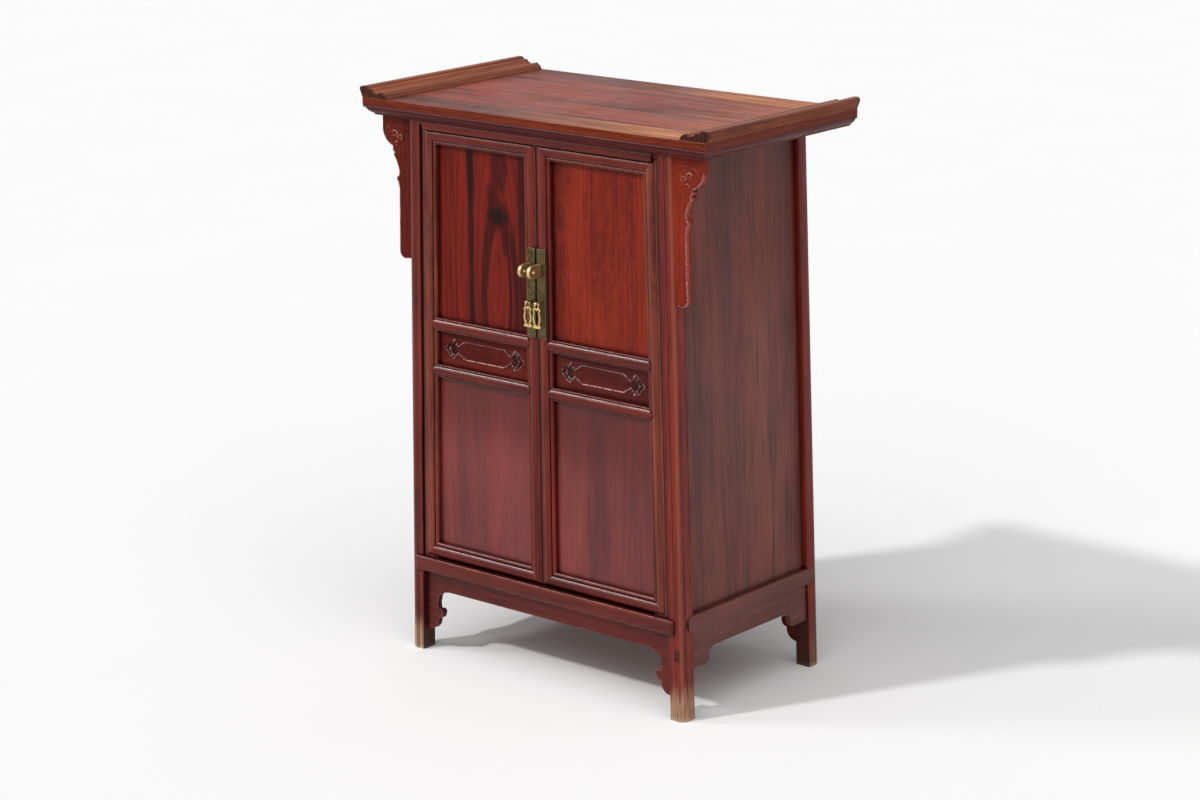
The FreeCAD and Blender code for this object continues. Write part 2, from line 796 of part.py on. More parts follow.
def add_spandrels():
    """The carved spandrels that hang from the top against the front posts."""
    steps = []
    for step in spandrel_shares:
        placed = []
        for u, v in step:
            z = case_height - v * spandrel_drop
            placed.append((half_width(z) + u * spandrel_reach, z))
        steps.append(tuple(placed))
    low = case_height - spandrel_drop
    steps.append(((half_width(low) - trim_overlap, low),))
    start = (head_half_width - trim_overlap, case_height)
    spandrel = solid_of(start, steps, lambda x, z: at(x, spandrel_recess, z), at(0, spandrel_thickness, 0))
    under_top = block(0, foot_half_width + top_half_length, -foot_half_depth, 0, 0, case_height)
    right = largest(lean_front(spandrel).common(under_top).cut(pieces["post_front_right"]))
    pieces["spandrel_right"] = right
    pieces["spandrel_left"] = mirror_x(right)


outer_stile_width = edge_bead_width + outer_strip_width + crown_width + bead_width
meeting_stile_width = meeting_strip_width + crown_width + bead_width
corner_rail_width = crown_width + bead_width
meeting_edge = door_meeting_gap / 2
meeting_inside = meeting_edge + meeting_stile_width


def edge_x(z):
    """The right door's outer edge, which follows the post."""
    return half_width(z) - post_width - door_side_gap


def outer_inside(z):
    """The inner edge of the right door's outer stile."""
    return edge_x(z) - outer_stile_width


def make_outer_stile():
    """The outer stile, with its horn and its two pivots."""
    low = sill_top + stile_foot_gap
    horn_top = door_top + horn_rise
    horn_width = edge_bead_width + outer_strip_width
    strips = [(edge_bead_width, edge_bead_depth, edge_bead_rise), (outer_strip_width, strip_depth, 0),
              (crown_width, crown_depth, crown_rise), (bead_width, bead_depth, bead_rise)]
    stile = moulded(strips, door_thickness, lambda u, v: at(edge_x(low) - u, v, low),
                    at(-width_slope, 0, 1) * (horn_top + horn_width - low))
    horn_outer = edge_x(horn_top)
    horn_inner = edge_x(door_top) - horn_width
    above = horn_top + overrun
    shoulder = block(0, horn_inner, -overrun, door_thickness + overrun, door_top, above)
    strip_middle = edge_x(door_bottom) - edge_bead_width - outer_strip_width / 2
    foot = block(0, strip_middle, -overrun, strip_depth, low - overrun, door_bottom)
    behind = block(0, foot_half_width, horn_depth, door_thickness + overrun, door_top, above)
    round_low = horn_top - horn_width / 2
    crest_steps = [
        ((horn_outer + overrun, above),),
        ((horn_outer + overrun, round_low),),
        ((edge_x(round_low), round_low),),
        (((horn_outer + horn_inner) / 2, horn_top), (horn_inner, round_low)),
        ((horn_inner - overrun, round_low),),
    ]
    crest = solid_of((horn_inner - overrun, above), crest_steps,
                     lambda x, z: at(x, -overrun, z), at(0, overrun + overrun + door_thickness, 0))
    stile = cut_all(stile, [shoulder, behind, crest, foot])
    rods = [pivot_rod(pivot_radius, door_top + horn_gap, door_top + pivot_rise),
            pivot_rod(pivot_radius, sill_top - pivot_drop, low + pivot_root)]
    return fuse_all(stile, rods)


def make_meeting_stile():
    strips = [(meeting_strip_width, strip_depth, 0), (crown_width, crown_depth, crown_rise),
              (bead_width, bead_depth, bead_rise)]
    return moulded(strips, door_thickness, lambda u, v: at(meeting_edge + u, v, door_bottom),
                   at(0, 0, door_top - door_bottom))


def door_bar(strips, z_start, direction):
    """A moulded bar across the door, from its edge at the given height in the given direction."""
    return moulded(strips, door_thickness, lambda u, v: at(0, v, z_start + direction * u),
                   at(foot_half_width, 0, 0))


def door_tenons(middle):
    z_low = middle - door_tenon_height / 2
    z_high = middle + door_tenon_height / 2
    back = panel_face + panel_thickness
    outer = outer_inside(middle)
    return [block(meeting_inside - door_tenon_reach, meeting_inside, panel_face, back, z_low, z_high),
            block(outer, outer + door_tenon_reach, panel_face, back, z_low, z_high)]


def corner_rail(outer_z, direction):
    """The top or bottom rail, mitred into the stiles' crowns and beads."""
    inner_z = outer_z + direction * corner_rail_width
    strips = [(crown_width, crown_depth, crown_rise), (bead_width, bead_depth, bead_rise)]
    outline = slab_xz([
        (meeting_inside, inner_z),
        (meeting_inside - corner_rail_width, outer_z),
        (outer_inside(outer_z) + corner_rail_width, outer_z),
        (outer_inside(inner_z), inner_z),
    ], 0, door_thickness)
    middle = outer_z + direction * (door_tenon_setback + door_tenon_height / 2)
    return door_bar(strips, outer_z, direction).common(outline), outline, door_tenons(middle)


def middle_rail(low):
    """A rail between two panels, with pointed ends that lap the stiles."""
    high = low + middle_rail_width
    middle = low + middle_rail_width / 2
    strips = [(middle_bead_width, middle_bead_depth, middle_bead_rise),
              (middle_crown_width, crown_depth, crown_rise),
              (middle_bead_width, middle_bead_depth, middle_bead_rise)]
    point = middle_rail_width / 2
    outline = slab_xz([
        (meeting_inside, low), (meeting_inside - point, middle), (meeting_inside, high),
        (outer_inside(high), high), (outer_inside(middle) + point, middle), (outer_inside(low), low),
    ], 0, door_thickness)
    return door_bar(strips, low, 1).common(outline), outline, door_tenons(middle)


def make_panel(low, high):
    """A floating panel for the field between two heights, with its edges in the frame's grooves."""
    z_low = low - groove_depth
    z_high = high + groove_depth
    return slab_xz([
        (meeting_inside - groove_depth, z_low), (outer_inside(z_low) + groove_depth, z_low),
        (outer_inside(z_high) + groove_depth, z_high), (meeting_inside - groove_depth, z_high),
    ], panel_face, panel_face + panel_thickness)


def carve_cartouche(panel, low, high):
    """Sinks the cartouche into the middle panel's face."""
    middle = (low + high) / 2
    centre = (meeting_inside + outer_inside(middle)) / 2
    half_length = (outer_inside(middle) - centre) * cartouche_length_share
    half_height = (high - middle) * cartouche_height_share
    quarter = [(u * half_length, v * half_height) for u, v in cartouche_shares]
    back_again = quarter[-2::-1]
    loop = quarter + [(u, -v) for u, v in back_again] + [(-u, -v) for u, v in quarter]
    loop += [(-u, v) for u, v in back_again]
    points = [(centre + u, middle + v) for u, v in loop]
    return panel.cut(slab_xz(points, panel_face - overrun, panel_face + cartouche_depth))


def make_brass():
    """The right door's lock plate, lock tab, eye and pull."""
    front = -plate_stand
    plate = block(meeting_edge, meeting_edge + plate_width, front, front + plate_thickness,
                  plate_low, plate_low + plate_height)
    middle_x = meeting_edge + tab_middle

    def lug(height, middle_z, reach, radius, thickness, tang, hole):
        """A rounded lug on the plate, with a tang into the stile and a hole across its nose."""
        nose = front - reach
        steps = [
            ((front, middle_z + height / 2),),
            ((nose, middle_z + height / 2),),
            ((nose - radius, middle_z), (nose, middle_z - height / 2)),
            ((front, middle_z - height / 2),),
            ((front, middle_z - tang / 2),),
            ((tang_depth, middle_z - tang / 2),),
        ]
        solid = solid_of((tang_depth, middle_z + tang / 2), [((front, middle_z + tang / 2),)] + steps,
                         lambda y, z: at(middle_x - thickness / 2, y, z), at(thickness, 0, 0))
        drill = Part.makeCylinder(hole, thickness + thickness, at(middle_x - thickness, nose, middle_z),
                                  at(1, 0, 0))
        return solid.cut(drill)

    tab_nose = tab_height / 2
    tab = lug(tab_height, tab_low + tab_nose, tab_reach - tab_nose, tab_nose, tab_thickness, tang_height,
              tab_hole_radius)
    eye = lug(eye_radius + eye_radius, eye_height, eye_reach, eye_radius, eye_thickness, eye_tang,
              pull_bar_radius + pull_clearance)
    plate = plate.cut(tab).cut(eye)
    return plate, tab, eye, make_pull(middle_x, front - eye_reach)


def make_pull(middle_x, middle_y):
    """The openwork pull, with the bar that hangs in the eye."""
    def placed(step):
        return tuple((u * pull_half_width, -v * pull_length) for u, v in step)

    def half(start, steps):
        return solid_of(start, steps, lambda x, z: at(x, -pull_thickness / 2, z), at(0, pull_thickness, 0))

    steps = [((pull_ear_half_width, -pull_neck_drop),)] + [placed(step) for step in pull_shares]
    body = half((0, -pull_neck_drop), steps + [((0, -pull_length),)])
    opening_top = placed((pull_opening_top_shares,))[0]
    opening_steps = [(opening_top,)] + [placed(step) for step in pull_opening_shares]
    opening_low = opening_steps[-1][-1][1]
    opening = half((0, opening_top[1]), opening_steps + [((0, opening_low),)])
    body = body.cut(opening)
    ear = block(pull_ear_half_width - pull_ear_thickness, pull_ear_half_width,
                -pull_thickness / 2, pull_thickness / 2, -pull_neck_drop, pull_ear_rise)
    bar = Part.makeCylinder(pull_bar_radius, pull_ear_half_width + pull_ear_half_width,
                            at(-pull_ear_half_width, 0, 0), at(1, 0, 0))
    pull = fuse_all(body, [mirror_x(body), ear, mirror_x(ear), bar])
    pull.translate(at(middle_x, middle_y, eye_height))
    return pull


def add_doors():
    """Both doors and their brass."""
    upper_rail_high = upper_rail_low + middle_rail_width
    lower_rail_high = lower_rail_low + middle_rail_width
    rails = {
        "top_rail": corner_rail(door_top, -1),
        "upper_rail": middle_rail(upper_rail_low),
        "lower_rail": middle_rail(lower_rail_low),
        "bottom_rail": corner_rail(door_bottom, 1),
    }
    panels = {
        "upper_panel": make_panel(upper_rail_high, door_top - corner_rail_width),
        "carved_panel": make_panel(lower_rail_high, upper_rail_low),
        "lower_panel": make_panel(door_bottom + corner_rail_width, lower_rail_low),
    }
    plate, tab, eye, pull = make_brass()
    door = {"outer_stile": make_outer_stile(), "meeting_stile": make_meeting_stile()}
    for outline_name in ("outer_stile", "meeting_stile"):
        for bar, outline, tenons in rails.values():
            door[outline_name] = cut_all(door[outline_name], [outline] + tenons)
        door[outline_name] = largest(cut_all(door[outline_name], list(panels.values()) + [plate, tab, eye]))
    for name, (bar, outline, tenons) in rails.items():
        door[name] = fuse_all(cut_all(bar, list(panels.values())), tenons)
    door.update(panels)
    door["carved_panel"] = carve_cartouche(panels["carved_panel"], lower_rail_high, upper_rail_low)
    door.update({"lock_plate": plate, "lock_tab": tab, "pull_eye": eye, "pull": pull})
    for name, shape in door.items():
        pieces["right_door_" + name] = lean_front(shape)
        pieces["left_door_" + name] = mirror_x(pieces["right_door_" + name])


def drill_sill():
    """The sockets of the lower pivots in the sill."""
    socket = lean_front(pivot_rod(pivot_radius + pivot_clearance, sill_top - pivot_drop - pivot_end_gap,
                                  sill_top + overrun))
    pieces["bottom_rail_front"] = cut_all(pieces["bottom_rail_front"], [socket, mirror_x(socket)])


def save_pieces():
    """Moves the cabinet so that the middle of its outer box is at the frame's origin, and writes it."""
    tab_tip = lean_front(Part.Vertex(0, -plate_stand - tab_reach, tab_low + tab_height / 2)).Point
    frame_shift = (-tab_tip.y - top_half_depth) / 2
    os.makedirs("parts", exist_ok=True)
    for name, shape in pieces.items():
        moved = shape.copy()
        moved.translate(at(0, frame_shift, 0))
        moved.exportStep("parts/" + name + ".step")


add_posts()
add_sill()
add_head_rail()
add_front_apron()
add_rear_rails()
add_side_rails()
add_side_aprons()
add_inner_rails()
add_side_panels()
add_back_panels()
add_boards()
add_top()
add_spandrels()
add_doors()
drill_sill()
save_pieces()
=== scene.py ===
import bpy
import math
import bmesh
import numpy as np
from mathutils import Matrix, Vector
from mathutils.geometry import delaunay_2d_cdt


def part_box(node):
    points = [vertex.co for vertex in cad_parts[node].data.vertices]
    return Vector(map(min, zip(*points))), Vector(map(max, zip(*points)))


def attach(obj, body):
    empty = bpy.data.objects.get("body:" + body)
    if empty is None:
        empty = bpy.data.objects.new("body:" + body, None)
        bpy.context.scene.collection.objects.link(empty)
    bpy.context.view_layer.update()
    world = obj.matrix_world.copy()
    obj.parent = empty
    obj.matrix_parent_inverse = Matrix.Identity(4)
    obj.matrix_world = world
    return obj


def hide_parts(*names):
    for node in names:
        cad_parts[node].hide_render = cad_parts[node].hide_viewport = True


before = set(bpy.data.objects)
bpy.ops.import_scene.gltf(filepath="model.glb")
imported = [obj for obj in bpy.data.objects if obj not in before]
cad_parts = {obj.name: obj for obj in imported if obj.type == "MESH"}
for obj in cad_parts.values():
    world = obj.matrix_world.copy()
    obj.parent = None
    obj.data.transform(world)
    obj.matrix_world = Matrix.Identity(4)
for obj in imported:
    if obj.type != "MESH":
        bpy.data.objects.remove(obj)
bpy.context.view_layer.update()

# The case's shape, in metres: it leans inwards from the floor to its head
case_top = 0.8544
foot_half_width = 0.2804
head_half_width = 0.2601
side_slope = 20.3 / 854.4
front_slope = 5.3 / 854.4
foot_depth = 0.1690
depth_middle = 0.0066713

# The top: the moulding of its edge is below band_low, and its upper face starts between two heights
band_low = 0.871
board_top = (0.8820, 0.8828)


def linear(r, g, b):
    """A colour named in display values from 0 to 255."""
    values = []
    for v in (r, g, b):
        v = v / 255
        values.append(v / 12.92 if v <= 0.04045 else ((v + 0.055) / 1.055) ** 2.4)
    return (*values, 1.0)


# Colours that all woods share
figure_dark = linear(26, 8, 8)
pore_dark = linear(20, 6, 6)
# Painted shade for corners and recesses
painted_recess_shade = linear(10, 3, 3)
# Painted shade for the gaps beside and between the doors
painted_gap_shade = linear(8, 4, 4)
plug_dark = linear(40, 14, 12)
end_grain = (linear(30, 12, 11), linear(64, 30, 24))
# Light edges: partly worn, partly painted highlight
edge_wear_and_highlight = linear(170, 98, 78)
corner_wear = linear(164, 92, 66)
# Painted highlight and painted shade for the carving
painted_carving_highlight = linear(204, 156, 146)
painted_carving_shade = linear(22, 8, 10)
foot_tan = (linear(180, 146, 116), linear(132, 92, 70), linear(80, 48, 40))
foot_scuff = linear(192, 164, 140)
# Painted shade for the feet's inner faces
foot_painted_shade = linear(30, 15, 14)


class Nodes:
    """Builds nodes in a tree."""

    def __init__(self, tree):
        self.tree = tree
        self.tree.nodes.clear()

    def add(self, kind, settings=None, inputs=None):
        made = self.tree.nodes.new(kind)
        for key, value in (settings or {}).items():
            setattr(made, key, value)
        for key, value in (inputs or {}).items():
            self.feed(made.inputs[key], value)
        return made

    def feed(self, socket, value):
        """Links a socket, or sets it."""
        if isinstance(value, bpy.types.NodeSocket):
            self.tree.links.new(value, socket)
        else:
            socket.default_value = value

    def math(self, operation, first, second=0.0, clamp=False):
        return self.add("ShaderNodeMath", {"operation": operation, "use_clamp": clamp},
                        {0: first, 1: second}).outputs[0]

    def plus(self, first, second, clamp=False):
        return self.math("ADD", first, second, clamp)

    def minus(self, first, second):
        return self.math("SUBTRACT", first, second)

    def times(self, first, *others):
        """The product of two or more values."""
        for other in others:
            first = self.math("MULTIPLY", first, other)
        return first

    def rest(self, value):
        """What is left of 1."""
        return self.math("SUBTRACT", 1.0, value)

    def size(self, value):
        """A value without its sign."""
        return self.math("ABSOLUTE", value)

    def swing(self, value, amount):
        """Noise from 0 to 1, laid around 0."""
        return self.times(self.minus(value, 0.5), amount)

    def length(self, first, second):
        """The length of a line with two parts."""
        return self.math("SQRT", self.plus(self.times(first, first), self.times(second, second)))

    def vector(self, operation, first, second):
        return self.add("ShaderNodeVectorMath", {"operation": operation}, {0: first, 1: second}).outputs[0]

    def split(self, value):
        return self.add("ShaderNodeSeparateXYZ", {}, {0: value}).outputs

    def noise(self, place, scale, detail=2.0, roughness=0.5, warp=0.0):
        """Smooth noise from 0 to 1, at a scale for each direction."""
        scaled = self.vector("MULTIPLY", place, scale)
        return self.add("ShaderNodeTexNoise", {}, {"Vector": scaled, "Scale": 1.0, "Detail": detail,
                                                  "Roughness": roughness, "Distortion": warp}).outputs[0]

    def steps(self, value, low, high, smooth=True):
        """Maps low..high to 0..1."""
        return self.add("ShaderNodeMapRange", {"interpolation_type": "SMOOTHSTEP" if smooth else "LINEAR"},
                        {"Value": value, "From Min": low, "From Max": high}).outputs[0]

    def mix(self, factor, first, second, blend="MIX"):
        made = self.add("ShaderNodeMix", {"data_type": "RGBA", "blend_type": blend})
        for index, value in ((0, factor), (6, first), (7, second)):
            self.feed(made.inputs[index], value)
        return made.outputs[2]


class Shader(Nodes):
    """One material. colour is what is built up, layer on layer."""

    def __init__(self, name):
        self.material = bpy.data.materials.new(name)
        self.material.use_nodes = True
        super().__init__(self.material.node_tree)
        self.place = self.add("ShaderNodeTexCoord").outputs["Object"]
        self.colour = None

    def lay(self, factor, colour, blend="MIX"):
        self.colour = self.mix(factor, self.colour, colour, blend)

    def look_round(self, round_edge, reach, samples):
        """Finds the normal with rounded edges, how far it leaves the flat one, and how open the place is."""
        self.soft = self.add("ShaderNodeBevel", {"samples": samples}, {"Radius": round_edge}).outputs[0]
        self.flat = self.add("ShaderNodeNewGeometry").outputs["True Normal"]
        agree = self.add("ShaderNodeVectorMath", {"operation": "DOT_PRODUCT"}, {0: self.soft, 1: self.flat})
        self.bent = self.rest(agree.outputs["Value"])
        openness = self.add("ShaderNodeAmbientOcclusion", {"samples": 6}, {"Distance": reach})
        self.open_air = openness.outputs["AO"]

    def close(self, roughness, height, fine):
        """Adds the fine relief and the surface itself. fine is the depth of the relief."""
        self.bump = self.add("ShaderNodeBump", {}, {"Strength": 0.3, "Distance": fine, "Height": height,
                                                    "Normal": self.soft}).outputs[0]
        shade = self.add("ShaderNodeBsdfPrincipled", {}, {"Base Color": self.colour, "Roughness": roughness,
                                                          "Normal": self.bump})
        self.add("ShaderNodeOutputMaterial", {}, {"Surface": shade.outputs[0]})
        return shade


class Wood(Shader):
    """The layers of a hardwood. Lengths are in metres."""

    def __init__(self, name, axis, palette, seed):
        super().__init__(name)
        self.light, self.mid, self.dark = palette
        self.parts = self.split(self.place)
        order = {"x": (1, 2, 0), "y": (0, 2, 1), "z": (0, 1, 2)}[axis]
        ordered = {i: self.parts[k] for i, k in enumerate(order)}
        turned = self.add("ShaderNodeCombineXYZ", {}, ordered).outputs[0]
        shift = Vector((math.sin(seed * 12.9) * 3, math.cos(seed * 7.7) * 3, math.sin(seed * 4.1) * 3))
        moved = self.vector("ADD", turned, shift)
        stretched = self.vector("MULTIPLY", moved, (9.0, 9.0, 2.2))
        drift = self.add("ShaderNodeTexNoise", {}, {"Vector": stretched, "Scale": 1.0, "Detail": 2.0})
        around_zero = self.vector("SUBTRACT", drift.outputs[1], (0.5, 0.5, 0.5))
        bend = self.vector("MULTIPLY", around_zero, (0.02, 0.02, 0.0))
        self.grain = self.vector("ADD", moved, bend)
        self.across, _, self.along = self.split(turned)
        # Streaks along the grain, from fine ones to broad tones
        self.fibre = self.noise(self.grain, (330, 330, 6), 4.0, 0.62)
        self.hair = self.noise(self.grain, (1300, 1300, 22), 2.0, 0.55)
        self.broad = self.noise(self.grain, (60, 60, 2.6), 4.0, 0.6, 0.3)
        self.slow = self.noise(self.grain, (14, 14, 3), 2.0, 0.5)

    def lay_base(self, heart, rings, ring_share, blotch, contrast):
        """The palette's three tones, mottled, with the growth rings of a log."""
        if heart:
            across, deep, slant = heart
            wobble = self.times(self.noise(self.grain, (26, 26, 9), 3.0, 0.55), 0.016)
            radius = self.plus(self.length(self.minus(self.across, across),
                                           self.plus(self.times(self.along, slant), deep)), wobble)
        else:
            radius = self.times(self.slow, 0.1)
        wave = self.math("SINE", self.times(radius, 2 * math.pi / rings))
        ring = self.math("POWER", self.plus(self.times(wave, 0.5), 0.5), 2.2)
        tone = self.plus(0.34, self.swing(self.fibre, 0.85 * contrast))
        tone = self.plus(tone, self.swing(self.broad, 0.75 * contrast))
        tone = self.plus(tone, self.swing(self.slow, blotch))
        tone = self.plus(tone, self.times(ring, ring_share), clamp=True)
        self.colour = self.mix(self.steps(tone, 0.0, 0.55, False), self.light, self.mid)
        self.lay(self.steps(tone, 0.5, 1.0), self.dark)

    def mark(self, kind, x, width, strength, *more):
        """A dark mark of the figure. A streak is a line at x, of a width. An arch is a line at its width
        from x, above a foot, with its slant and the line's own width. A blob is an oval with a middle and a
        height."""
        away = self.minus(self.plus(self.across, self.swing(self.slow, 0.008)), x)
        if kind == "blob":
            middle, tall = more
            oval = self.length(self.math("DIVIDE", self.minus(self.along, middle), tall),
                               self.math("DIVIDE", away, width))
            outside = self.steps(self.plus(oval, self.swing(self.fibre, 2.3)), 0.70, 1.15)
        else:
            if kind == "arch":
                foot, slant, band = more
                span = self.length(away, self.times(self.minus(self.along, foot), slant))
                away = self.minus(self.plus(span, self.swing(self.broad, 0.005)), width)
                width = band
            outside = self.steps(self.size(away), width * 0.3, width)
        return self.times(self.rest(outside), self.times(self.steps(self.fibre, 0.15, 0.5), strength))

    def lay_figure(self, figure, figure_low, marks):
        """Long dark streaks where noise passes a level, with the marks, and the pores over them."""
        streak = self.noise(self.grain, (75, 75, 1.7), 4.0, 0.62, 0.3)
        bold = self.times(self.steps(streak, figure_low, figure_low + 0.14), figure)
        for mark in marks:
            bold = self.math("MAXIMUM", bold, self.mark(*mark))
        self.lay(bold, figure_dark)
        pores = self.steps(self.noise(self.grain, (1500, 1500, 60), 1.0, 0.5), 0.58, 0.70)
        self.pores = self.times(pores, self.steps(self.fibre, 0.35, 0.6))
        self.lay(self.times(self.pores, 0.55), pore_dark)

    def lay_curl(self, share):
        """Light waves across the grain."""
        waves = self.noise(self.grain, (70, 70, 34), 4.0, 0.6, 1.6)
        self.lay(self.times(self.steps(waves, 0.42, 0.66), share), self.light)

    def lay_glow(self, low, high, warm, share):
        """A warm, sunned stretch of the board's upper face, between two places along the grain."""
        sunned = self.times(self.steps(self.along, low, high), self.steps(self.broad, 0.25, 0.62),
                            self.steps(self.parts[2], *board_top))
        self.lay(self.times(sunned, share), self.mix(self.steps(self.fibre, 0.3, 0.7), warm, self.mid))

    def lay_under(self, level, palette):
        """Another wood tone below a level, for the moulding under the edge of the top."""
        light, mid, dark = palette
        below = self.rest(self.steps(self.parts[2], level - 0.0006, level + 0.0006))
        streaked = self.mix(self.steps(self.fibre, 0.3, 0.7), light, dark)
        self.lay(below, self.mix(self.steps(self.broad, 0.35, 0.65), streaked, mid))

    def lay_ends(self, front, rear):
        """Dark end grain near the front and the rear end."""
        depth = 0.0045
        at_end = self.math("MAXIMUM", self.math("LESS_THAN", self.parts[1], front + depth),
                           self.math("GREATER_THAN", self.parts[1], rear - depth))
        mottle = self.steps(self.noise(self.place, (260, 260, 260), 3.0, 0.6), 0.40, 0.60)
        self.lay(self.times(at_end, 0.9), self.mix(mottle, *end_grain))

    def lay_plug(self, sheet, level, across, half_width, middle, half_height):
        """The dark end of a tenon that shows in the front or the side of a post."""
        face, beyond = (1, "LESS_THAN") if sheet == "front" else (0, "GREATER_THAN")
        spot = self.times(
            self.math("LESS_THAN", self.size(self.minus(self.parts[1 - face], across)), half_width),
            self.math("LESS_THAN", self.size(self.minus(self.parts[2], middle)), half_height))
        self.lay(self.times(spot, self.math(beyond, self.parts[face], level), 0.75), plug_dark)

    def lay_deep(self, low, high, tint):
        """A deeper tone above a height."""
        ragged = self.plus(self.parts[2], self.swing(self.slow, 0.06))
        self.lay(self.steps(ragged, low, high), (*tint, 1.0), "MULTIPLY")

    def lay_wear_highlight_and_shade(self, wear_and_highlight, rub_and_highlight, round_edge):
        """Worn edges with painted highlights, and painted shade in the corners and recesses."""
        patches = self.steps(self.noise(self.place, (60, 60, 60), 3.0, 0.6), 0.36, 0.6)
        self.look_round(round_edge, 0.009, 4)
        edge = self.times(self.steps(self.bent, 0.03, 0.25), self.steps(self.open_air, 0.55, 0.9))
        # Light edges: partly worn, partly painted highlight along the mouldings
        self.lay(self.times(edge, patches, wear_and_highlight), rub_and_highlight)
        # Painted shade: darker where little of the surroundings is open, in corners and recesses
        self.lay(self.times(self.rest(self.steps(self.open_air, 0.28, 0.88)), 0.95), painted_recess_shade)

    def lay_carving(self):
        """Painted highlights on ridges and painted shade in hollows, where the mesh's carving values say so.
        """
        carving = self.add("ShaderNodeAttribute", {"attribute_name": "carving"}).outputs["Fac"]
        broken_glints = self.steps(self.noise(self.place, (400, 400, 400), 2.0, 0.5), 0.36, 0.58)
        # Painted highlights broken up by noise, then painted shade
        self.lay(self.times(self.steps(carving, 0.1, 0.9), broken_glints, 0.85), painted_carving_highlight)
        self.lay(self.times(self.steps(self.times(carving, -1.0), 0.1, 0.9), 0.9), painted_carving_shade)

    def from_middle(self):
        """How far a point is to the side, as if the case's sides were upright."""
        return self.plus(self.size(self.parts[0]), self.times(self.parts[2], side_slope))

    def lay_corner(self, share):
        """Wear on the outer corner of a post."""
        from_depth_middle = self.plus(self.size(self.minus(self.parts[1], depth_middle)),
                                      self.times(self.parts[2], front_slope))
        worn = self.times(self.steps(self.from_middle(), 0.2715, 0.2785),
                          self.steps(from_depth_middle, 0.1605, 0.1675))
        self.lay(self.times(worn, self.times(self.steps(self.fibre, 0.15, 0.6), share)), corner_wear)

    def lay_gap_shade(self, seam, meeting):
        """Painted shade in the gap beside a door's outer edge, or between the doors where they meet."""
        if meeting:
            gap = self.rest(self.steps(self.size(self.parts[0]), 0.0012, 0.0024))
        else:
            gap = self.steps(self.from_middle(), seam - 0.0038, seam - 0.0020)
        behind = self.minus(self.parts[1], self.times(self.parts[2], front_slope))
        near_front = self.rest(self.steps(behind, -0.1590, -0.1560))
        self.lay(self.times(gap, near_front, 0.92), painted_gap_shade)

    def lay_foot(self, share):
        """A bare, tan foot, with painted shade on the faces that look into the case, where the tan is kept
        faint. Gives how bare the wood is.
        """
        facing = self.split(self.flat)
        outer = self.math("MINIMUM", self.steps(self.times(self.parts[0], facing[0]), -0.20, -0.10),
                          self.steps(self.times(self.parts[1], facing[1]), -0.12, -0.06))
        ragged = self.plus(self.parts[2], self.swing(self.fibre, 0.045))
        bare = self.times(self.rest(self.steps(ragged, 0.024, 0.062)), self.math("MAXIMUM", outer, 0.25))
        tan = self.mix(self.steps(self.fibre, 0.3, 0.7), *foot_tan[:2])
        tan = self.mix(self.times(self.steps(self.hair, 0.5, 0.7), 0.4), tan, foot_tan[2])
        self.lay(self.times(bare, share), tan)
        self.lay(self.times(self.rest(self.steps(self.parts[2], 0.001, 0.008)), 0.5), foot_scuff)
        # Painted shade on the inner faces of the foot
        shaded_inner = self.times(self.rest(outer), self.rest(self.steps(self.parts[2], 0.10, 0.14)))
        self.lay(self.times(shaded_inner, 0.8), foot_painted_shade)
        return bare


def wood(name, axis, palette, seed, heart=None, rings=0.006, ring_share=0.1, figure=0.5, figure_low=0.60,
         gloss=0.3, rough=0.33, wear_and_highlight=0.35, worn_foot=0.0, curl=0.0, marks=(), under=None, ends=None, seam=0.0,
         round_edge=0.0012, plugs=(), carved=False, corner=0.0, polish=0.0, meeting=False,
         blotch=0.9, rub_and_highlight=edge_wear_and_highlight, glow=None, contrast=1.0, deepen=None):
    """A polished hardwood with its grain along an axis. seed picks the part of the log.
    heart is the log's middle: its place across and behind the board, and its slant. rings is their spacing.
    figure and figure_low are the strength and the amount of dark streaks, marks are single ones.
    gloss is the specular level, and polish is the wax coat on the leaning faces of mouldings.
    wear and rub are the strength and the colour of the light edges, partly worn and partly painted highlight,
    round_edge is how far they are rounded.
    blotch and contrast are the mottling. seam is how far a door's outer edge would be from the middle at the
    floor. The other values are the shares or the places that the method of the same name takes."""
    s = Wood(name, axis, palette, seed)
    s.lay_base(heart, rings, ring_share, blotch, contrast)
    s.lay_figure(figure, figure_low, marks)
    if curl:
        s.lay_curl(curl)
    if glow:
        s.lay_glow(*glow)
    if under:
        s.lay_under(*under)
    if ends:
        s.lay_ends(*ends)
    for plug in plugs:
        s.lay_plug(*plug)
    if deepen:
        s.lay_deep(*deepen)
    s.lay_wear_highlight_and_shade(wear_and_highlight, rub_and_highlight, round_edge)
    if carved:
        s.lay_carving()
    if corner:
        s.lay_corner(corner)
    # Painted shade in the gaps beside and between the doors
    if seam:
        s.lay_gap_shade(seam, meeting)
    smudge = s.noise(s.place, (14, 14, 14), 3.0, 0.6)
    roughness = s.plus(s.plus(rough, s.swing(s.fibre, 0.2)), s.swing(smudge, 0.24), clamp=True)
    if worn_foot:
        roughness = s.plus(roughness, s.times(s.lay_foot(worn_foot), 0.3), clamp=True)
    shade = s.close(roughness, s.minus(s.times(s.hair, 0.5), s.pores), 0.00025)
    shade.inputs["Specular IOR Level"].default_value = gloss
    if polish:
        rise = s.split(s.soft)[2]
        leaning = s.minus(s.steps(rise, 0.15, 0.5), s.steps(rise, 0.82, 0.96))
        s.feed(shade.inputs["Coat Weight"], s.times(leaning, polish, s.steps(s.open_air, 0.3, 0.8)))
        s.feed(shade.inputs["Coat Normal"], s.bump)
        shade.inputs["Coat Roughness"].default_value = 0.25
    return s.material


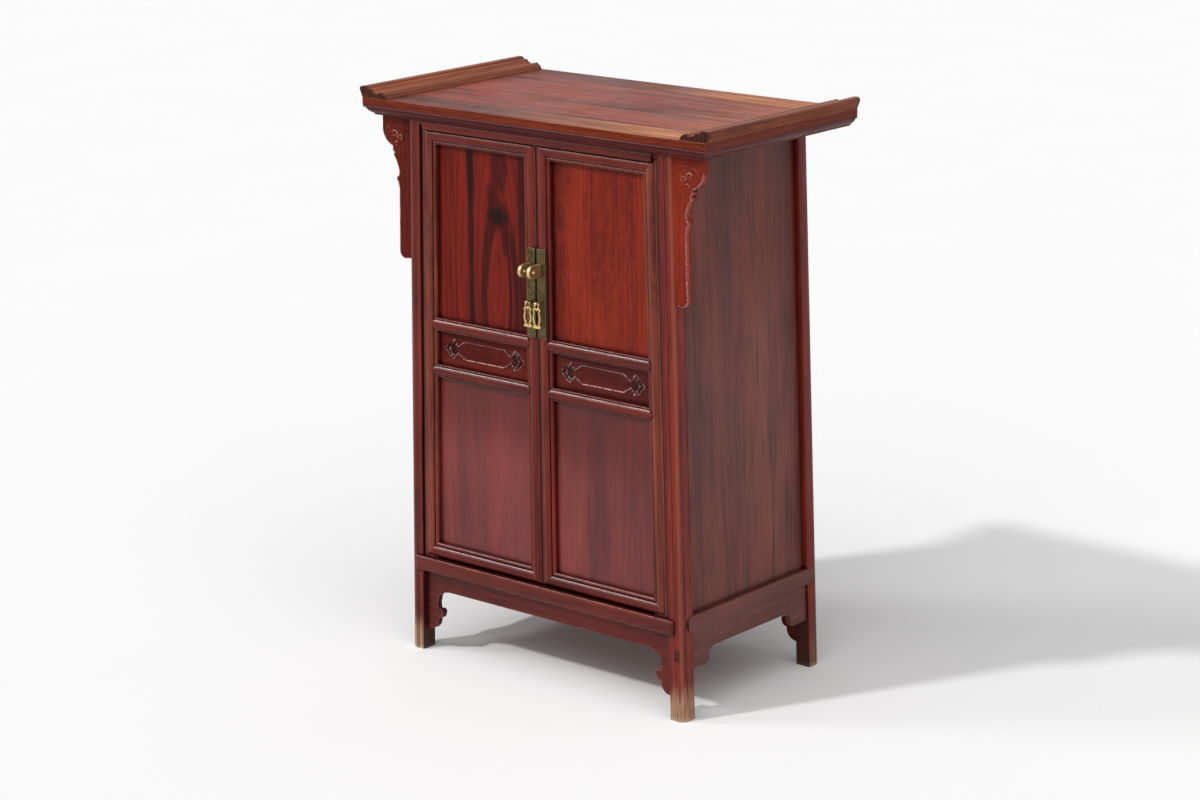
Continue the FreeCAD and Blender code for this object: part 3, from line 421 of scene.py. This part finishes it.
def brass(name, light, dark, rough, seed, tarnish=0.4, seam=False):
    """Old brass: mottled tone, dull patches, fine scratches and bright edges. seam paints shade into the
    doors' gap.
    """
    s = Shader(name)
    moved = s.vector("ADD", s.place, (seed, seed * 0.7, seed * 0.3))
    mottle = s.noise(moved, (220, 220, 220), 4.0, 0.65, 0.8)
    patch = s.noise(moved, (70, 70, 60), 3.0, 0.6, 0.5)
    scratch = s.noise(moved, (500, 2400, 160), 2.0, 0.6)
    s.colour = s.mix(s.steps(mottle, 0.3, 0.7), light, dark)
    s.lay(s.times(s.steps(patch, 0.5, 0.68), tarnish), linear(66, 52, 26))
    s.look_round(0.0006, 0.004, 6)
    s.lay(s.times(s.steps(s.bent, 0.02, 0.2), 0.6), linear(232, 205, 160))
    s.lay(s.times(s.rest(s.steps(s.open_air, 0.3, 0.85)), 0.7), linear(30, 20, 10))
    # Painted shade in the gap between the doors
    if seam:
        gap = s.rest(s.steps(s.size(s.split(s.place)[0]), 0.0014, 0.0027))
        s.lay(s.times(gap, 0.92), linear(12, 8, 6))
    roughness = s.plus(rough, s.swing(mottle, 0.35), clamp=True)
    shade = s.close(roughness, s.plus(s.times(scratch, 0.4), mottle), 0.0002)
    shade.inputs["Metallic"].default_value = 1.0
    return s.material


# Each wood's light, middle and dark tone
red = (linear(136, 46, 32), linear(92, 25, 20), linear(42, 11, 10))
wine = (linear(126, 49, 43), linear(88, 31, 30), linear(47, 16, 17))
plum = (linear(120, 60, 48), linear(84, 36, 31), linear(36, 13, 13))
umber = (linear(136, 64, 44), linear(86, 30, 23), linear(36, 11, 10))
mauve = (linear(116, 46, 47), linear(80, 26, 28), linear(42, 12, 14))
brown = (linear(128, 62, 42), linear(88, 38, 27), linear(46, 18, 14))
bright = (linear(146, 40, 24), linear(104, 26, 17), linear(54, 13, 10))
scarlet = (linear(152, 50, 29), linear(118, 33, 19), linear(78, 20, 13))
tan_brown = (linear(164, 88, 50), linear(118, 54, 31), linear(56, 20, 13))
orange = (linear(172, 72, 38), linear(122, 42, 25), linear(66, 20, 14))
top_red = (linear(170, 74, 44), linear(108, 32, 20), linear(44, 11, 9))
# The next three edge colours are partly worn and partly painted highlight; the front one is mostly painted
# glints
board_wear_and_highlight = linear(196, 100, 54)
front_wear_and_glint = linear(196, 132, 116)
spandrel_wear_and_highlight = linear(184, 92, 58)
golden = linear(226, 140, 68)
sunned = linear(196, 110, 60)


def toned(palette, share):
    """A palette made darker or lighter."""
    return tuple((*(channel * share for channel in tone[:3]), 1.0) for tone in palette)


def coat_of(node, index):
    """The wood of one piece of the case or the doors."""
    name = "wood_" + node
    seed = index * 1.37 + 0.61
    left = "left" in node
    if node.startswith("post"):
        plugs = (("front", -0.155, 0.2665, 0.0055, 0.103, 0.0095),
                 ("side", 0.272, -0.148, 0.005, 0.150, 0.0055))
        return wood(name, "z", toned(red, 0.8 if left else 1.05), seed, gloss=0.2, wear_and_highlight=0.8, figure=0.6,
                    corner=0.75, worn_foot=0.9 if "front" in node else 0.4,
                    plugs=plugs if node == "post_front_right" else ())
    if node in ("top_frame_front", "top_frame_rear"):
        return wood(name, "x", toned(orange, 0.5), seed, gloss=0.08, rough=0.4, wear_and_highlight=0.7, figure=0.7,
                    figure_low=0.55, polish=0.6, glow=(-0.10, 0.20, golden, 1.0), rub_and_highlight=board_wear_and_highlight,
                    under=(band_low, mauve))
    if node in ("top_frame_left", "top_frame_right"):
        return wood(name, "y", toned(orange, 0.55), seed, gloss=0.12, rough=0.4, wear_and_highlight=0.7, figure=0.6,
                    polish=0.6, rub_and_highlight=board_wear_and_highlight, under=(band_low, mauve))
    if node == "top_panel":
        return wood(name, "x", top_red, seed, gloss=0.09, figure=0.9, figure_low=0.50, rough=0.42,
                    glow=(0.08, 0.30, sunned, 0.6))
    if node.startswith("flange"):
        low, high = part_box(node)
        return wood(name, "y", toned(tan_brown, 1.0 if left else 0.85), seed, gloss=0.06, rough=0.36,
                    wear_and_highlight=0.7, figure=0.5, polish=0.35, ends=(low[1], high[1]))
    if node.startswith("spandrel"):
        return wood(name, "z", toned(scarlet, 0.5 if left else 0.85), seed, gloss=0.07, rough=0.28,
                    wear_and_highlight=0.7, figure=0.7, figure_low=0.55, round_edge=0.0004, rub_and_highlight=spandrel_wear_and_highlight, carved=True)
    if node.startswith("side_panel"):
        return wood(name, "z", plum, seed, heart=(-0.06, 0.09, 0.02), rings=0.011, figure=0.75,
                    figure_low=0.56, gloss=0.32, rough=0.42, blotch=1.3,
                    deepen=(0.50, 0.68, (0.93, 0.60, 0.42)),
                    marks=(("streak", -0.062, 0.0080, 0.7), ("streak", -0.020, 0.0050, 0.5),
                           ("streak", 0.055, 0.0120, 0.4)))
    if node == "left_door_upper_panel":
        return wood(name, "z", toned(bright, 0.8), seed, heart=(-0.090, -0.113, 0.18), rings=0.011,
                    ring_share=0.16, figure=0.75, figure_low=0.57, gloss=0.08, rough=0.36,
                    marks=(("streak", -0.142, 0.0080, 0.85), ("blob", -0.142, 0.0085, 0.95, 0.800, 0.090),
                           ("arch", -0.091, 0.0290, 0.8, 0.595, 0.22, 0.0042),
                           ("arch", -0.082, 0.0330, 0.75, 0.590, 0.24, 0.0080),
                           ("blob", -0.089, 0.0250, 1.0, 0.722, 0.0160),
                           ("blob", -0.095, 0.0140, 0.75, 0.744, 0.030),
                           ("blob", -0.082, 0.0180, 0.65, 0.800, 0.045),
                           ("blob", -0.072, 0.0090, 0.7, 0.690, 0.030),
                           ("streak", -0.034, 0.016, 0.75)))
    if node == "right_door_upper_panel":
        return wood(name, "z", toned(scarlet, 0.9), seed, heart=(0.13, 0.04, -0.05), rings=0.009, figure=0.5,
                    figure_low=0.57, curl=0.3, gloss=0.10, rough=0.36, blotch=1.5,
                    marks=(("streak", 0.034, 0.020, 0.5), ("streak", 0.178, 0.014, 0.35)))
    if node.endswith("lower_panel") and "door" in node:
        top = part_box(node)[1][2]
        return wood(name, "z", wine, seed, heart=(-0.12 if left else 0.12, 0.06, -0.06), rings=0.010,
                    ring_share=0.06, figure=0.2, gloss=0.37, rough=0.4, blotch=1.2, contrast=0.6,
                    deepen=(top - 0.14, top - 0.05, (0.68, 0.34, 0.24)))
    if node.endswith("carved_panel"):
        side_tone, side_gloss = (0.66, 0.06) if left else (0.56, 0.10)
        return wood(name, "x", toned(red, side_tone), seed, gloss=side_gloss, rough=0.24, wear_and_highlight=0.9,
                    figure=0.5, round_edge=0.0003, carved=True, polish=0.6)
    if node.endswith("_stile"):
        low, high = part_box(node)
        seam = max(abs(low[0]), abs(high[0])) + low[2] * side_slope
        return wood(name, "z", umber if "outer" in node else toned(red, 0.85), seed, gloss=0.2, rough=0.28,
                    wear_and_highlight=1.0, figure=0.6, seam=seam, meeting="meeting" in node)
    if node.startswith("back_panel"):
        return wood(name, "z", brown, seed, heart=(0.02, 0.08, 0.03), rings=0.012, figure=0.5, gloss=0.25,
                    rough=0.5)
    if node in ("bottom_panel", "shelf", "top_batten"):
        return wood(name, "x", brown, seed, figure=0.4, gloss=0.25, rough=0.55, wear_and_highlight=0.3)
    if node in ("bottom_rail_left", "bottom_rail_right", "apron_left", "apron_right", "top_rail_left",
                "top_rail_right", "shelf_bearers"):
        return wood(name, "y", plum, seed, gloss=0.32, wear_and_highlight=0.4, figure=0.5)
    if node in ("bottom_rail_front", "apron_front"):
        return wood(name, "x", toned(red, 0.62), seed, gloss=0.2, rough=0.3, wear_and_highlight=1.0, figure=0.7,
                    figure_low=0.56, polish=0.9, round_edge=0.0024, rub_and_highlight=front_wear_and_glint)
    share = 0.6 if node == "top_rail_front" else 0.7
    return wood(name, "x", toned(red, share), seed, gloss=0.16, rough=0.26, wear_and_highlight=1.0, figure=0.6, polish=0.95)


# Each brass fitting's light and dark tone, roughness and tarnish
fitting = {
    "lock_plate": (linear(108, 96, 66), linear(76, 66, 43), 0.48, 0.6),
    "lock_tab": (linear(228, 206, 158), linear(194, 168, 120), 0.46, 0.2),
    "pull_eye": (linear(226, 206, 166), linear(178, 154, 112), 0.36, 0.25),
    "pull": (linear(222, 190, 128), linear(168, 136, 84), 0.36, 0.3),
}

for index, (name, item) in enumerate(sorted(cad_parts.items())):
    kind = name.split("_door_")[-1]
    if kind in fitting:
        light, dark, rough, tarnish = fitting[kind]
        made = brass("brass_" + name, light, dark, rough, index * 0.77, tarnish, kind == "lock_plate")
    else:
        made = coat_of(name, index)
    item.data.materials.clear()
    item.data.materials.append(made)

# Carved pieces: a slab cut to an outline, with a height for every point of its face
lean = math.atan(front_slope)
millimetre = 0.001


def leaned(x, y, z):
    """A point of the upright front frame in metres, moved to the leaning front."""
    return (x, y * math.cos(lean) + z * math.sin(lean) - foot_depth + depth_middle,
            z * math.cos(lean) - y * math.sin(lean))


def arc_points(start, middle, end, count=8):
    """Points on the circle through three points, without the first."""
    ax, ay = start
    bx, by = middle
    cx, cy = end
    d = 2 * (ax * (by - cy) + bx * (cy - ay) + cx * (ay - by))
    if abs(d) < 1e-12:
        return [end]
    a, b, c = (px * px + py * py for px, py in (start, middle, end))
    ux = (a * (by - cy) + b * (cy - ay) + c * (ay - by)) / d
    uy = (a * (cx - bx) + b * (ax - cx) + c * (bx - ax)) / d
    radius = math.hypot(ax - ux, ay - uy)
    first, mid, last = (math.atan2(q - uy, p - ux) for p, q in (start, middle, end))
    turn = (last - first) % (2 * math.pi)
    if (mid - first) % (2 * math.pi) > turn:
        turn -= 2 * math.pi
    angles = [first + turn * i / count for i in range(1, count + 1)]
    return [(ux + radius * math.cos(angle), uy + radius * math.sin(angle)) for angle in angles]


def spaced(points, step):
    """The closed outline again, with points no further apart than a step."""
    out = []
    for a, b in zip(points, points[1:] + points[:1]):
        count = max(1, math.ceil(math.hypot(b[0] - a[0], b[1] - a[1]) / step))
        out += [(a[0] + (b[0] - a[0]) * i / count, a[1] + (b[1] - a[1]) * i / count) for i in range(count)]
    return out


def line_distance(u, v, points):
    """Distance of every point of two arrays from an open line."""
    best = np.full(u.shape, 1e9)
    for (ax, ay), (bx, by) in zip(points[:-1], points[1:]):
        dx, dy = bx - ax, by - ay
        size = dx * dx + dy * dy
        if size == 0:
            continue
        t = np.clip(((u - ax) * dx + (v - ay) * dy) / size, 0, 1)
        best = np.minimum(best, np.hypot(u - ax - t * dx, v - ay - t * dy))
    return best


def inside(u, v, points):
    """Whether every point of two arrays is in a closed outline."""
    hit = np.zeros(u.shape, bool)
    for (ax, ay), (bx, by) in zip(points, points[1:] + points[:1]):
        if ay == by:
            continue
        cross = ((ay > v) != (by > v)) & (u < (bx - ax) * (v - ay) / (by - ay) + ax)
        hit ^= cross
    return hit


def carved_slab(name, outline, step, height, thickness, place):
    """A slab with a carved face. height gives the rise and the carving value of points. place turns u, v and
    depth into a point."""
    rim = spaced(outline, step)
    us = [p[0] for p in rim]
    vs = [p[1] for p in rim]
    gu, gv = np.meshgrid(*(np.arange(min(line) + step / 2, max(line), step) for line in (us, vs)))
    gu, gv = gu.ravel(), gv.ravel()
    keep = inside(gu, gv, rim) & (line_distance(gu, gv, rim + rim[:1]) > step * 0.55)
    points = rim + list(zip(gu[keep], gv[keep]))
    count = len(rim)
    edges = [(i, (i + 1) % count) for i in range(count)]
    out, _, faces, _, _, _ = delaunay_2d_cdt([Vector(p) for p in points], edges, [], 1, 1e-7)
    pu = np.array([p.x for p in out])
    pv = np.array([p.y for p in out])
    # tint is painted light and shade: highlight above 0, shade below; it becomes the carving values
    rise, tint = height(pu, pv)
    verts = [place(a, b, -h) for a, b, h in zip(pu, pv, rise)]
    back_start = len(verts)
    verts += [place(p.x, p.y, thickness) for p in out[:count]]
    all_faces = [tuple(face) for face in faces]
    all_faces += [(i, (i + 1) % count, back_start + (i + 1) % count, back_start + i) for i in range(count)]
    all_faces.append(tuple(back_start + i for i in range(count)))
    mesh = bpy.data.meshes.new(name)
    mesh.from_pydata(verts, [], all_faces)
    work = bmesh.new()
    work.from_mesh(mesh)
    bmesh.ops.recalc_face_normals(work, faces=work.faces)
    for face in work.faces:
        face.smooth = True
    for edge in work.edges:
        edge.smooth = edge.is_manifold and edge.calc_face_angle(0) < math.radians(50)
    work.to_mesh(mesh)
    work.free()
    values = np.concatenate([tint, np.zeros(len(verts) - len(tint))])
    carving = mesh.attributes.new("carving", "FLOAT", "POINT")
    carving.data.foreach_set("value", values.astype(np.float32))
    made = bpy.data.objects.new(name, mesh)
    bpy.context.scene.collection.objects.link(made)
    return made


def ridge(distance, width, rise):
    """A rounded ridge along a line."""
    return rise * np.sqrt(np.clip(1 - (distance / width) ** 2, 0, 1))


def scroll(cu, cv, radius, start, turns, hand, count=26):
    """A scroll's line, winding inwards to a middle."""
    line = []
    for i in range(count + 1):
        reach = radius * (1 - 0.78 * i / count)
        angle = start + hand * turns * 2 * math.pi * i / count
        line.append((cu + reach * math.cos(angle), cv + reach * math.sin(angle)))
    return line


# The cartouches on the doors' middle panels, in metres
panel_face = 0.0115
panel_thickness = 0.006
panel_low = 0.4695
panel_high = 0.5335
panel_inner = 0.0205
panel_tongue = 0.005
panel_middle = 0.5015
field_inner = 0.0255
field_outer = 0.056
half_length = 0.0780
half_height = 0.0135


def post_face(z):
    """How far from the middle the posts' outer faces are at a height."""
    return foot_half_width - z * side_slope


def outer_edge(z):
    """How far from the middle a door's panels reach at a height."""
    return post_face(z) - field_outer


def cartouche_height(u, v):
    """A sunken lozenge with beaded corners, and a pointed cusp with two nubs at each end. The second value
    paints highlights on the sill, beads and nubs, and shade in the hollows and inside the upper rim.
    """
    centre_u = (field_inner + outer_edge(panel_middle)) / 2
    x = np.abs(u - centre_u)
    z = v - panel_middle
    y = np.abs(z)
    field = [(0, 0), (0, half_height), (0.53 * half_length, half_height),
             (0.70 * half_length, 0.36 * half_height), (0.76 * half_length, 0.30 * half_height),
             (0.76 * half_length, 0)]
    sunk = inside(x, np.maximum(y, 1e-7), field)
    away = line_distance(x, y, field[1:])
    rise = np.where(sunk, -0.0030 * np.clip(away / 0.0006, 0, 1), 0)
    tint = np.where(sunk & (z > -0.5 * half_height), -np.clip(1.5 - away / 0.0014, 0, 1), 0)
    sill = line_distance(x, y, field[1:3])
    rise += ridge(sill, 0.0012, 0.0010)
    tint = np.where((z < 0) & (sill < 0.0011), 1.0, tint)
    tint = np.where((z > 0) & (sill < 0.0011), 0.25, tint)
    for i in range(5):
        share = (i + 0.3) / 4.6
        away = np.hypot(x - half_length * (0.535 + 0.175 * share), y - half_height * (0.96 - 0.60 * share))
        rise = np.maximum(rise, ridge(away, 0.0019, 0.0022) - 0.0004)
        tint = np.where(away < 0.0012, 0.8, np.where(away < 0.0024, -0.7, tint))
    cusp = [(0.80 * half_length, 0.98 * half_height), (0.90 * half_length, 0.62 * half_height),
            (0.94 * half_length, 0.25 * half_height), (1.0 * half_length, 0.0)]
    hollow = line_distance(x, y, cusp)
    rise = np.where(hollow < 0.0024, np.minimum(rise, -0.0024 * (1 - (hollow / 0.0024) ** 2)), rise)
    tint = np.where(hollow < 0.0022, -1.0, tint)
    inner = [(0.77 * half_length, 0.42 * half_height), (0.83 * half_length, 0.52 * half_height),
             (0.86 * half_length, 0.2 * half_height), (0.80 * half_length, 0.0)]
    groove = line_distance(x, y, inner)
    rise = np.where(groove < 0.0018, np.minimum(rise, -0.0022 * (1 - (groove / 0.0018) ** 2)), rise)
    tint = np.where(groove < 0.0017, -1.0, tint)
    lip = np.abs(hollow - 0.0028)
    rise = np.maximum(rise, ridge(lip, 0.0008, 0.0012))
    tint = np.where((lip < 0.0005) & (z < 0.3 * half_height), 0.8, tint)
    for bu, bv, size in ((0.80, 1.0, 0.0031), (0.745, 0.62, 0.0022), (0.865, 0.72, 0.0019)):
        away = np.hypot(x - bu * half_length, y - bv * half_height)
        rise = np.maximum(rise, ridge(away, size, size * 0.85) - 0.0004)
        tint = np.where(away < size * 0.6, 0.9, np.where(away < size * 1.15, -0.6, tint))
    return rise, tint


for side, hand in (("left", -1), ("right", 1)):
    outline = [(panel_inner, panel_low), (outer_edge(panel_low) + panel_tongue, panel_low),
               (outer_edge(panel_high) + panel_tongue, panel_high), (panel_inner, panel_high)]
    panel = carved_slab("cartouche_panel_" + side, outline, 0.0008, cartouche_height, panel_thickness,
                        lambda u, v, d: leaned(hand * u, panel_face + d, v))
    node = side + "_door_carved_panel"
    panel.data.materials.append(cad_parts[node].data.materials[0])
    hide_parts(node)
    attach(panel, side + "_door")

# The carved spandrels beside the front posts: the profile is in shares of their reach and drop
reach = 0.0563
drop = 0.2194
spandrel_face = 0.005
spandrel_thickness = 0.012
spandrel_profile = (
    ((1.0, 0.0),), ((1.0, 0.105),), ((0.90, 0.162), (0.61, 0.213)), ((0.625, 0.236), (0.56, 0.254)),
    ((0.587, 0.268), (0.56, 0.286)), ((0.46, 0.330), (0.39, 0.385)), ((0.405, 0.412), (0.46, 0.427)),
    ((0.478, 0.441), (0.43, 0.461)), ((0.382, 0.507),), ((0.387, 0.955),), ((0.33, 0.990), (0.08, 1.0)),
)


def spandrel_outline():
    """The free edge from the head down to the foot, in metres from the post's outer face and the floor."""
    def placed(point):
        z = case_top - point[1] * drop
        return (post_face(z) + point[0] * reach, z)
    line = [placed((0.0, 0.0))]
    for step in spandrel_profile:
        if len(step) == 1:
            line.append(placed(step[0]))
        else:
            line += arc_points(line[-1], placed(step[0]), placed(step[1]))
    return line


spandrel_tongue = 0.004
free_line = spandrel_outline()
post_line = [(post_face(case_top - drop) - spandrel_tongue, case_top - drop),
             (head_half_width - spandrel_tongue, case_top)]


def stroke(p, q, points, wide, tip):
    """How far points lie inside a tapering leaf along a line, from 0 at its edge to 1 on its spine."""
    full = np.zeros_like(p)
    count = len(points) - 1
    for i in range(count):
        width = wide + (tip - wide) * (i + 0.5) / count
        full = np.maximum(full, np.clip(1 - line_distance(p, q, points[i:i + 2]) / width, 0, 1))
    return full


def spandrel_height(u, v):
    """A bead along the free edge, and a spray of curled leaves on the head. The second value paints
    highlights on the bead and along the spines of the scrolls and leaves, and shade beside them.
    """
    edge = line_distance(u, v, free_line[2:])
    rise = -0.0011 * np.clip((edge - 0.0035) / 0.0008, 0, 1)
    rise = np.maximum(rise, ridge(edge - 0.0019, 0.0017, 0.0004) - 0.0002)
    tint = np.where(edge < 0.0024, 0.5, np.where(edge < 0.0046, -0.4, 0.0))
    p = (u - post_face(v)) / millimetre
    q = (case_top - v) / millimetre
    scrolls = (
        (scroll(31, 27, 7, 2.4, 1.15, 1), 2.6, 1.2), (scroll(18, 32, 5.5, 0.2, 1.05, -1), 2.3, 1.0),
        (scroll(27, 42, 4.4, 3.6, 1.0, 1), 2.0, 0.9),
    )
    leaves = (
        ([(38, 15), (45, 18), (49, 25), (46, 33)], 2.8, 0.8),
        ([(30, 13), (20, 12), (11, 16), (6, 24)], 2.6, 0.8),
        ([(41, 34), (36, 40), (33, 49)], 2.4, 0.7),
        ([(10, 42), (13, 51), (11, 62), (7, 72)], 2.4, 0.6),
        ([(20, 50), (21, 58), (17, 66)], 2.2, 0.6),
        ([(36, 22), (34, 28), (28, 31)], 1.8, 0.7),
        ([(25, 20), (18, 22), (13, 28)], 1.8, 0.7),
    )
    # Painted highlights on the spines, painted shade at their feet
    for strokes, glint_share in ((scrolls, 0.9), (leaves, 0.3)):
        for line, wide, tip in strokes:
            full = stroke(p, q, line, wide, tip)
            rise = np.maximum(rise, np.where(full > 0, 0.0026 * np.sqrt(full * (2 - full)) - 0.0016, -1))
            foot = (full > 0) & (full < 0.35)
            tint = np.where(full > 0.66, glint_share, np.where(foot, np.minimum(tint, -0.6), tint))
    return rise, tint


for side, hand in (("left", -1), ("right", 1)):
    outline = free_line + post_line
    carved = carved_slab("carved_spandrel_" + side, outline, 0.0011, spandrel_height, spandrel_thickness,
                         lambda u, v, d: leaned(hand * u, spandrel_face + d, v))
    node = "spandrel_" + side
    carved.data.materials.append(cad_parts[node].data.materials[0])
    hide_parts(node)
    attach(carved, "case")

# The cast openwork pulls, hanging from their bars. Each rod has points in millimetres from the bar's middle,
# a half width at each point, half its depth, and whether the other side has one too
pull_hinge = (0.009, -0.169182, 0.604054)
rod_sides = 14
pull_rods = (
    ([(-4.4, 0.0), (0.0, 0.0), (4.4, 0.0)], [1.15, 1.15, 1.15], 1.15, False),
    ([(3.8, -0.4), (3.8, 2.5), (3.7, 5.0), (4.4, 7.8)], [1.5, 1.2, 1.2, 1.5], 1.45, True),
    ([(0.0, 7.5), (2.6, 7.8), (5.2, 8.6), (7.7, 10.0)], [1.5, 1.5, 1.5, 0.7], 1.5, True),
    ([(6.3, 9.8), (4.9, 12.2), (4.8, 15.0), (5.9, 19.5), (6.3, 23.0), (5.6, 27.0), (4.1, 30.5), (4.3, 32.6),
      (6.2, 35.0)], [1.4, 1.5, 1.6, 1.8, 1.9, 1.8, 1.6, 1.5, 1.5], 1.5, True),
    ([(0.0, 9.0), (0.0, 10.8)], [1.5, 0.6], 1.2, False),
    ([(-6.9, 35.9), (-3.0, 36.2), (0.0, 36.3), (3.0, 36.2), (6.9, 35.9)], [1.2, 1.5, 1.6, 1.5, 1.2],
     1.5, False),
    ([(-3.4, 33.0), (0.0, 33.8), (3.4, 33.0)], [0.9, 1.1, 0.9], 1.2, False),
)


def smooth_path(points, widths, parts=5):
    """A curve through points, with the widths along it."""
    data = np.array([(*point, width) for point, width in zip(points, widths)], dtype=float)
    padded = np.vstack([2 * data[0] - data[1], data, 2 * data[-1] - data[-2]])
    line = []
    for i in range(1, len(padded) - 2):
        a, b, c, d = padded[i - 1:i + 3]
        for t in np.arange(parts) / parts:
            line.append(0.5 * (2 * b + (c - a) * t + (2 * a - 5 * b + 4 * c - d) * t * t
                               + (3 * b - a - 3 * c + d) * t ** 3))
    return np.array(line + [data[-1]])


def add_rod(mesh, points, widths, deep, place):
    """A round-ended rod of oval section along a curve."""
    line = smooth_path(points, widths)
    ways = np.gradient(line[:, :2], axis=0)
    ways /= np.linalg.norm(ways, axis=1)[:, None]
    stations = [(row[:2], way, row[2], 1.0) for row, way in zip(line, ways)]
    for angle in (0.4, 0.8, 1.2):
        for index, sign in ((0, -1), (-1, 1)):
            width = line[index, 2]
            cap = (line[index, :2] + sign * ways[index] * width * math.sin(angle), ways[index], width,
                   math.cos(angle))
            stations.insert(0 if sign < 0 else len(stations), cap)
    rings = []
    for middle, way, width, share in stations:
        rings.append([mesh.verts.new(place(middle[0] - way[1] * width * share * math.cos(turn),
                                           deep * share * math.sin(turn),
                                           middle[1] + way[0] * width * share * math.cos(turn)))
                      for turn in np.arange(rod_sides) * 2 * math.pi / rod_sides])
    faces = [mesh.faces.new(rings[0]), mesh.faces.new(rings[-1])]
    for first, second in zip(rings, rings[1:]):
        for i in range(rod_sides):
            k = (i + 1) % rod_sides
            faces.append(mesh.faces.new((first[i], first[k], second[k], second[i])))
    bmesh.ops.recalc_face_normals(mesh, faces=faces)


for side, hand in (("left", -1), ("right", 1)):
    def hung(u, d, w):
        """A point of the pull in millimetres from its bar, moved to its place."""
        return (hand * (pull_hinge[0] + u * millimetre),
                pull_hinge[1] + (d * math.cos(lean) - w * math.sin(lean)) * millimetre,
                pull_hinge[2] - (w * math.cos(lean) + d * math.sin(lean)) * millimetre)
    mesh = bmesh.new()
    for points, widths, deep, both in pull_rods:
        add_rod(mesh, points, widths, deep, hung)
        if both:
            add_rod(mesh, [(-u, w) for u, w in points], widths, deep, hung)
    data = bpy.data.meshes.new("cast_pull_" + side)
    mesh.to_mesh(data)
    mesh.free()
    for face in data.polygons:
        face.use_smooth = True
    cast = bpy.data.objects.new("cast_pull_" + side, data)
    bpy.context.scene.collection.objects.link(cast)
    node = side + "_door_pull"
    cast.data.materials.append(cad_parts[node].data.materials[0])
    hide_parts(node)
    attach(cast, side + "_pull")

# The floor, a sheet of white paper
floor_mesh = bpy.data.meshes.new("floor")
floor_mesh.from_pydata([(-30, -30, 0), (30, -30, 0), (30, 30, 0), (-30, 30, 0)], [], [(0, 1, 2, 3)])
floor = bpy.data.objects.new("floor", floor_mesh)
bpy.context.scene.collection.objects.link(floor)
paper = Shader("floor_paper")
tone = paper.noise(paper.place, (3, 3, 3), 3.0, 0.5)
paper_colour = paper.mix(tone, linear(243, 243, 243), linear(245, 245, 245))
paper_shade = paper.add("ShaderNodeBsdfPrincipled", {}, {"Base Color": paper_colour, "Roughness": 0.9})
paper_shade.inputs["Specular IOR Level"].default_value = 0.0
paper.add("ShaderNodeOutputMaterial", {}, {"Surface": paper_shade.outputs[0]})
floor_mesh.materials.append(paper.material)

# Lamps: each one's strength, angle in degrees and the way its light goes. The key and the softbox shine from
# the left front, and the fill from the right front
for lamp_name, energy, angle, way in (("key", 1.32, 4, (0.474, 0.880, -1.0)),
                                      ("softbox", 0.50, 13, (0.645, 0.452, -0.616)),
                                      ("fill", 1.56, 80, (-0.386, 0.514, -0.766))):
    lamp = bpy.data.lights.new(lamp_name, "SUN")
    lamp.energy = energy
    lamp.angle = math.radians(angle)
    stand = bpy.data.objects.new(lamp_name, lamp)
    bpy.context.scene.collection.objects.link(stand)
    stand.rotation_euler = Vector(way).to_track_quat("-Z", "Y").to_euler()

# A white surround where it is seen or reflected, which lights the object a little and more from above
world = bpy.data.worlds.new("surround")
bpy.context.scene.world = world
world.use_nodes = True
sky = Nodes(world.node_tree)
rays = sky.add("ShaderNodeLightPath").outputs
reflected = sky.math("MAXIMUM", rays["Is Glossy Ray"], rays["Is Transmission Ray"])
seen = sky.math("MAXIMUM", rays["Is Camera Ray"], reflected)
sky_height = sky.split(sky.add("ShaderNodeTexCoord").outputs["Generated"])[2]
lighting = sky.add("ShaderNodeMapRange", {}, {"Value": sky_height, "From Min": 0.05, "From Max": 0.75,
                                              "To Min": 0.15, "To Max": 0.33}).outputs[0]
strength = sky.add("ShaderNodeMix", {"data_type": "FLOAT"}, {0: seen, 2: lighting, 3: 0.965}).outputs[0]
shine = sky.add("ShaderNodeBackground", {}, {"Color": (1, 1, 1, 1), "Strength": strength}).outputs[0]
sky.add("ShaderNodeOutputWorld", {}, {0: shine})

# Camera, fitted to the photograph's viewing angle
eye = Vector((3.07426, -3.57790, 1.69321))
target = Vector((-0.02065, 0.00667, 0.41353))
forward = (target - eye).normalized()
right = forward.cross(Vector((0, 0, 1))).normalized()
up = right.cross(forward)
roll = -0.015756
turned_right = right * math.cos(roll) + up * math.sin(roll)
turned_up = up * math.cos(roll) - right * math.sin(roll)
lens = bpy.data.cameras.new("view")
lens.sensor_fit = "HORIZONTAL"
lens.sensor_width = 36.0
lens.lens = 94.75
camera = bpy.data.objects.new("view", lens)
bpy.context.scene.collection.objects.link(camera)
axes = Matrix((turned_right, turned_up, -forward)).transposed()
camera.matrix_world = Matrix.Translation(eye) @ axes.to_4x4()
bpy.context.scene.camera = camera

bpy.context.scene.view_settings.view_transform = "Standard"
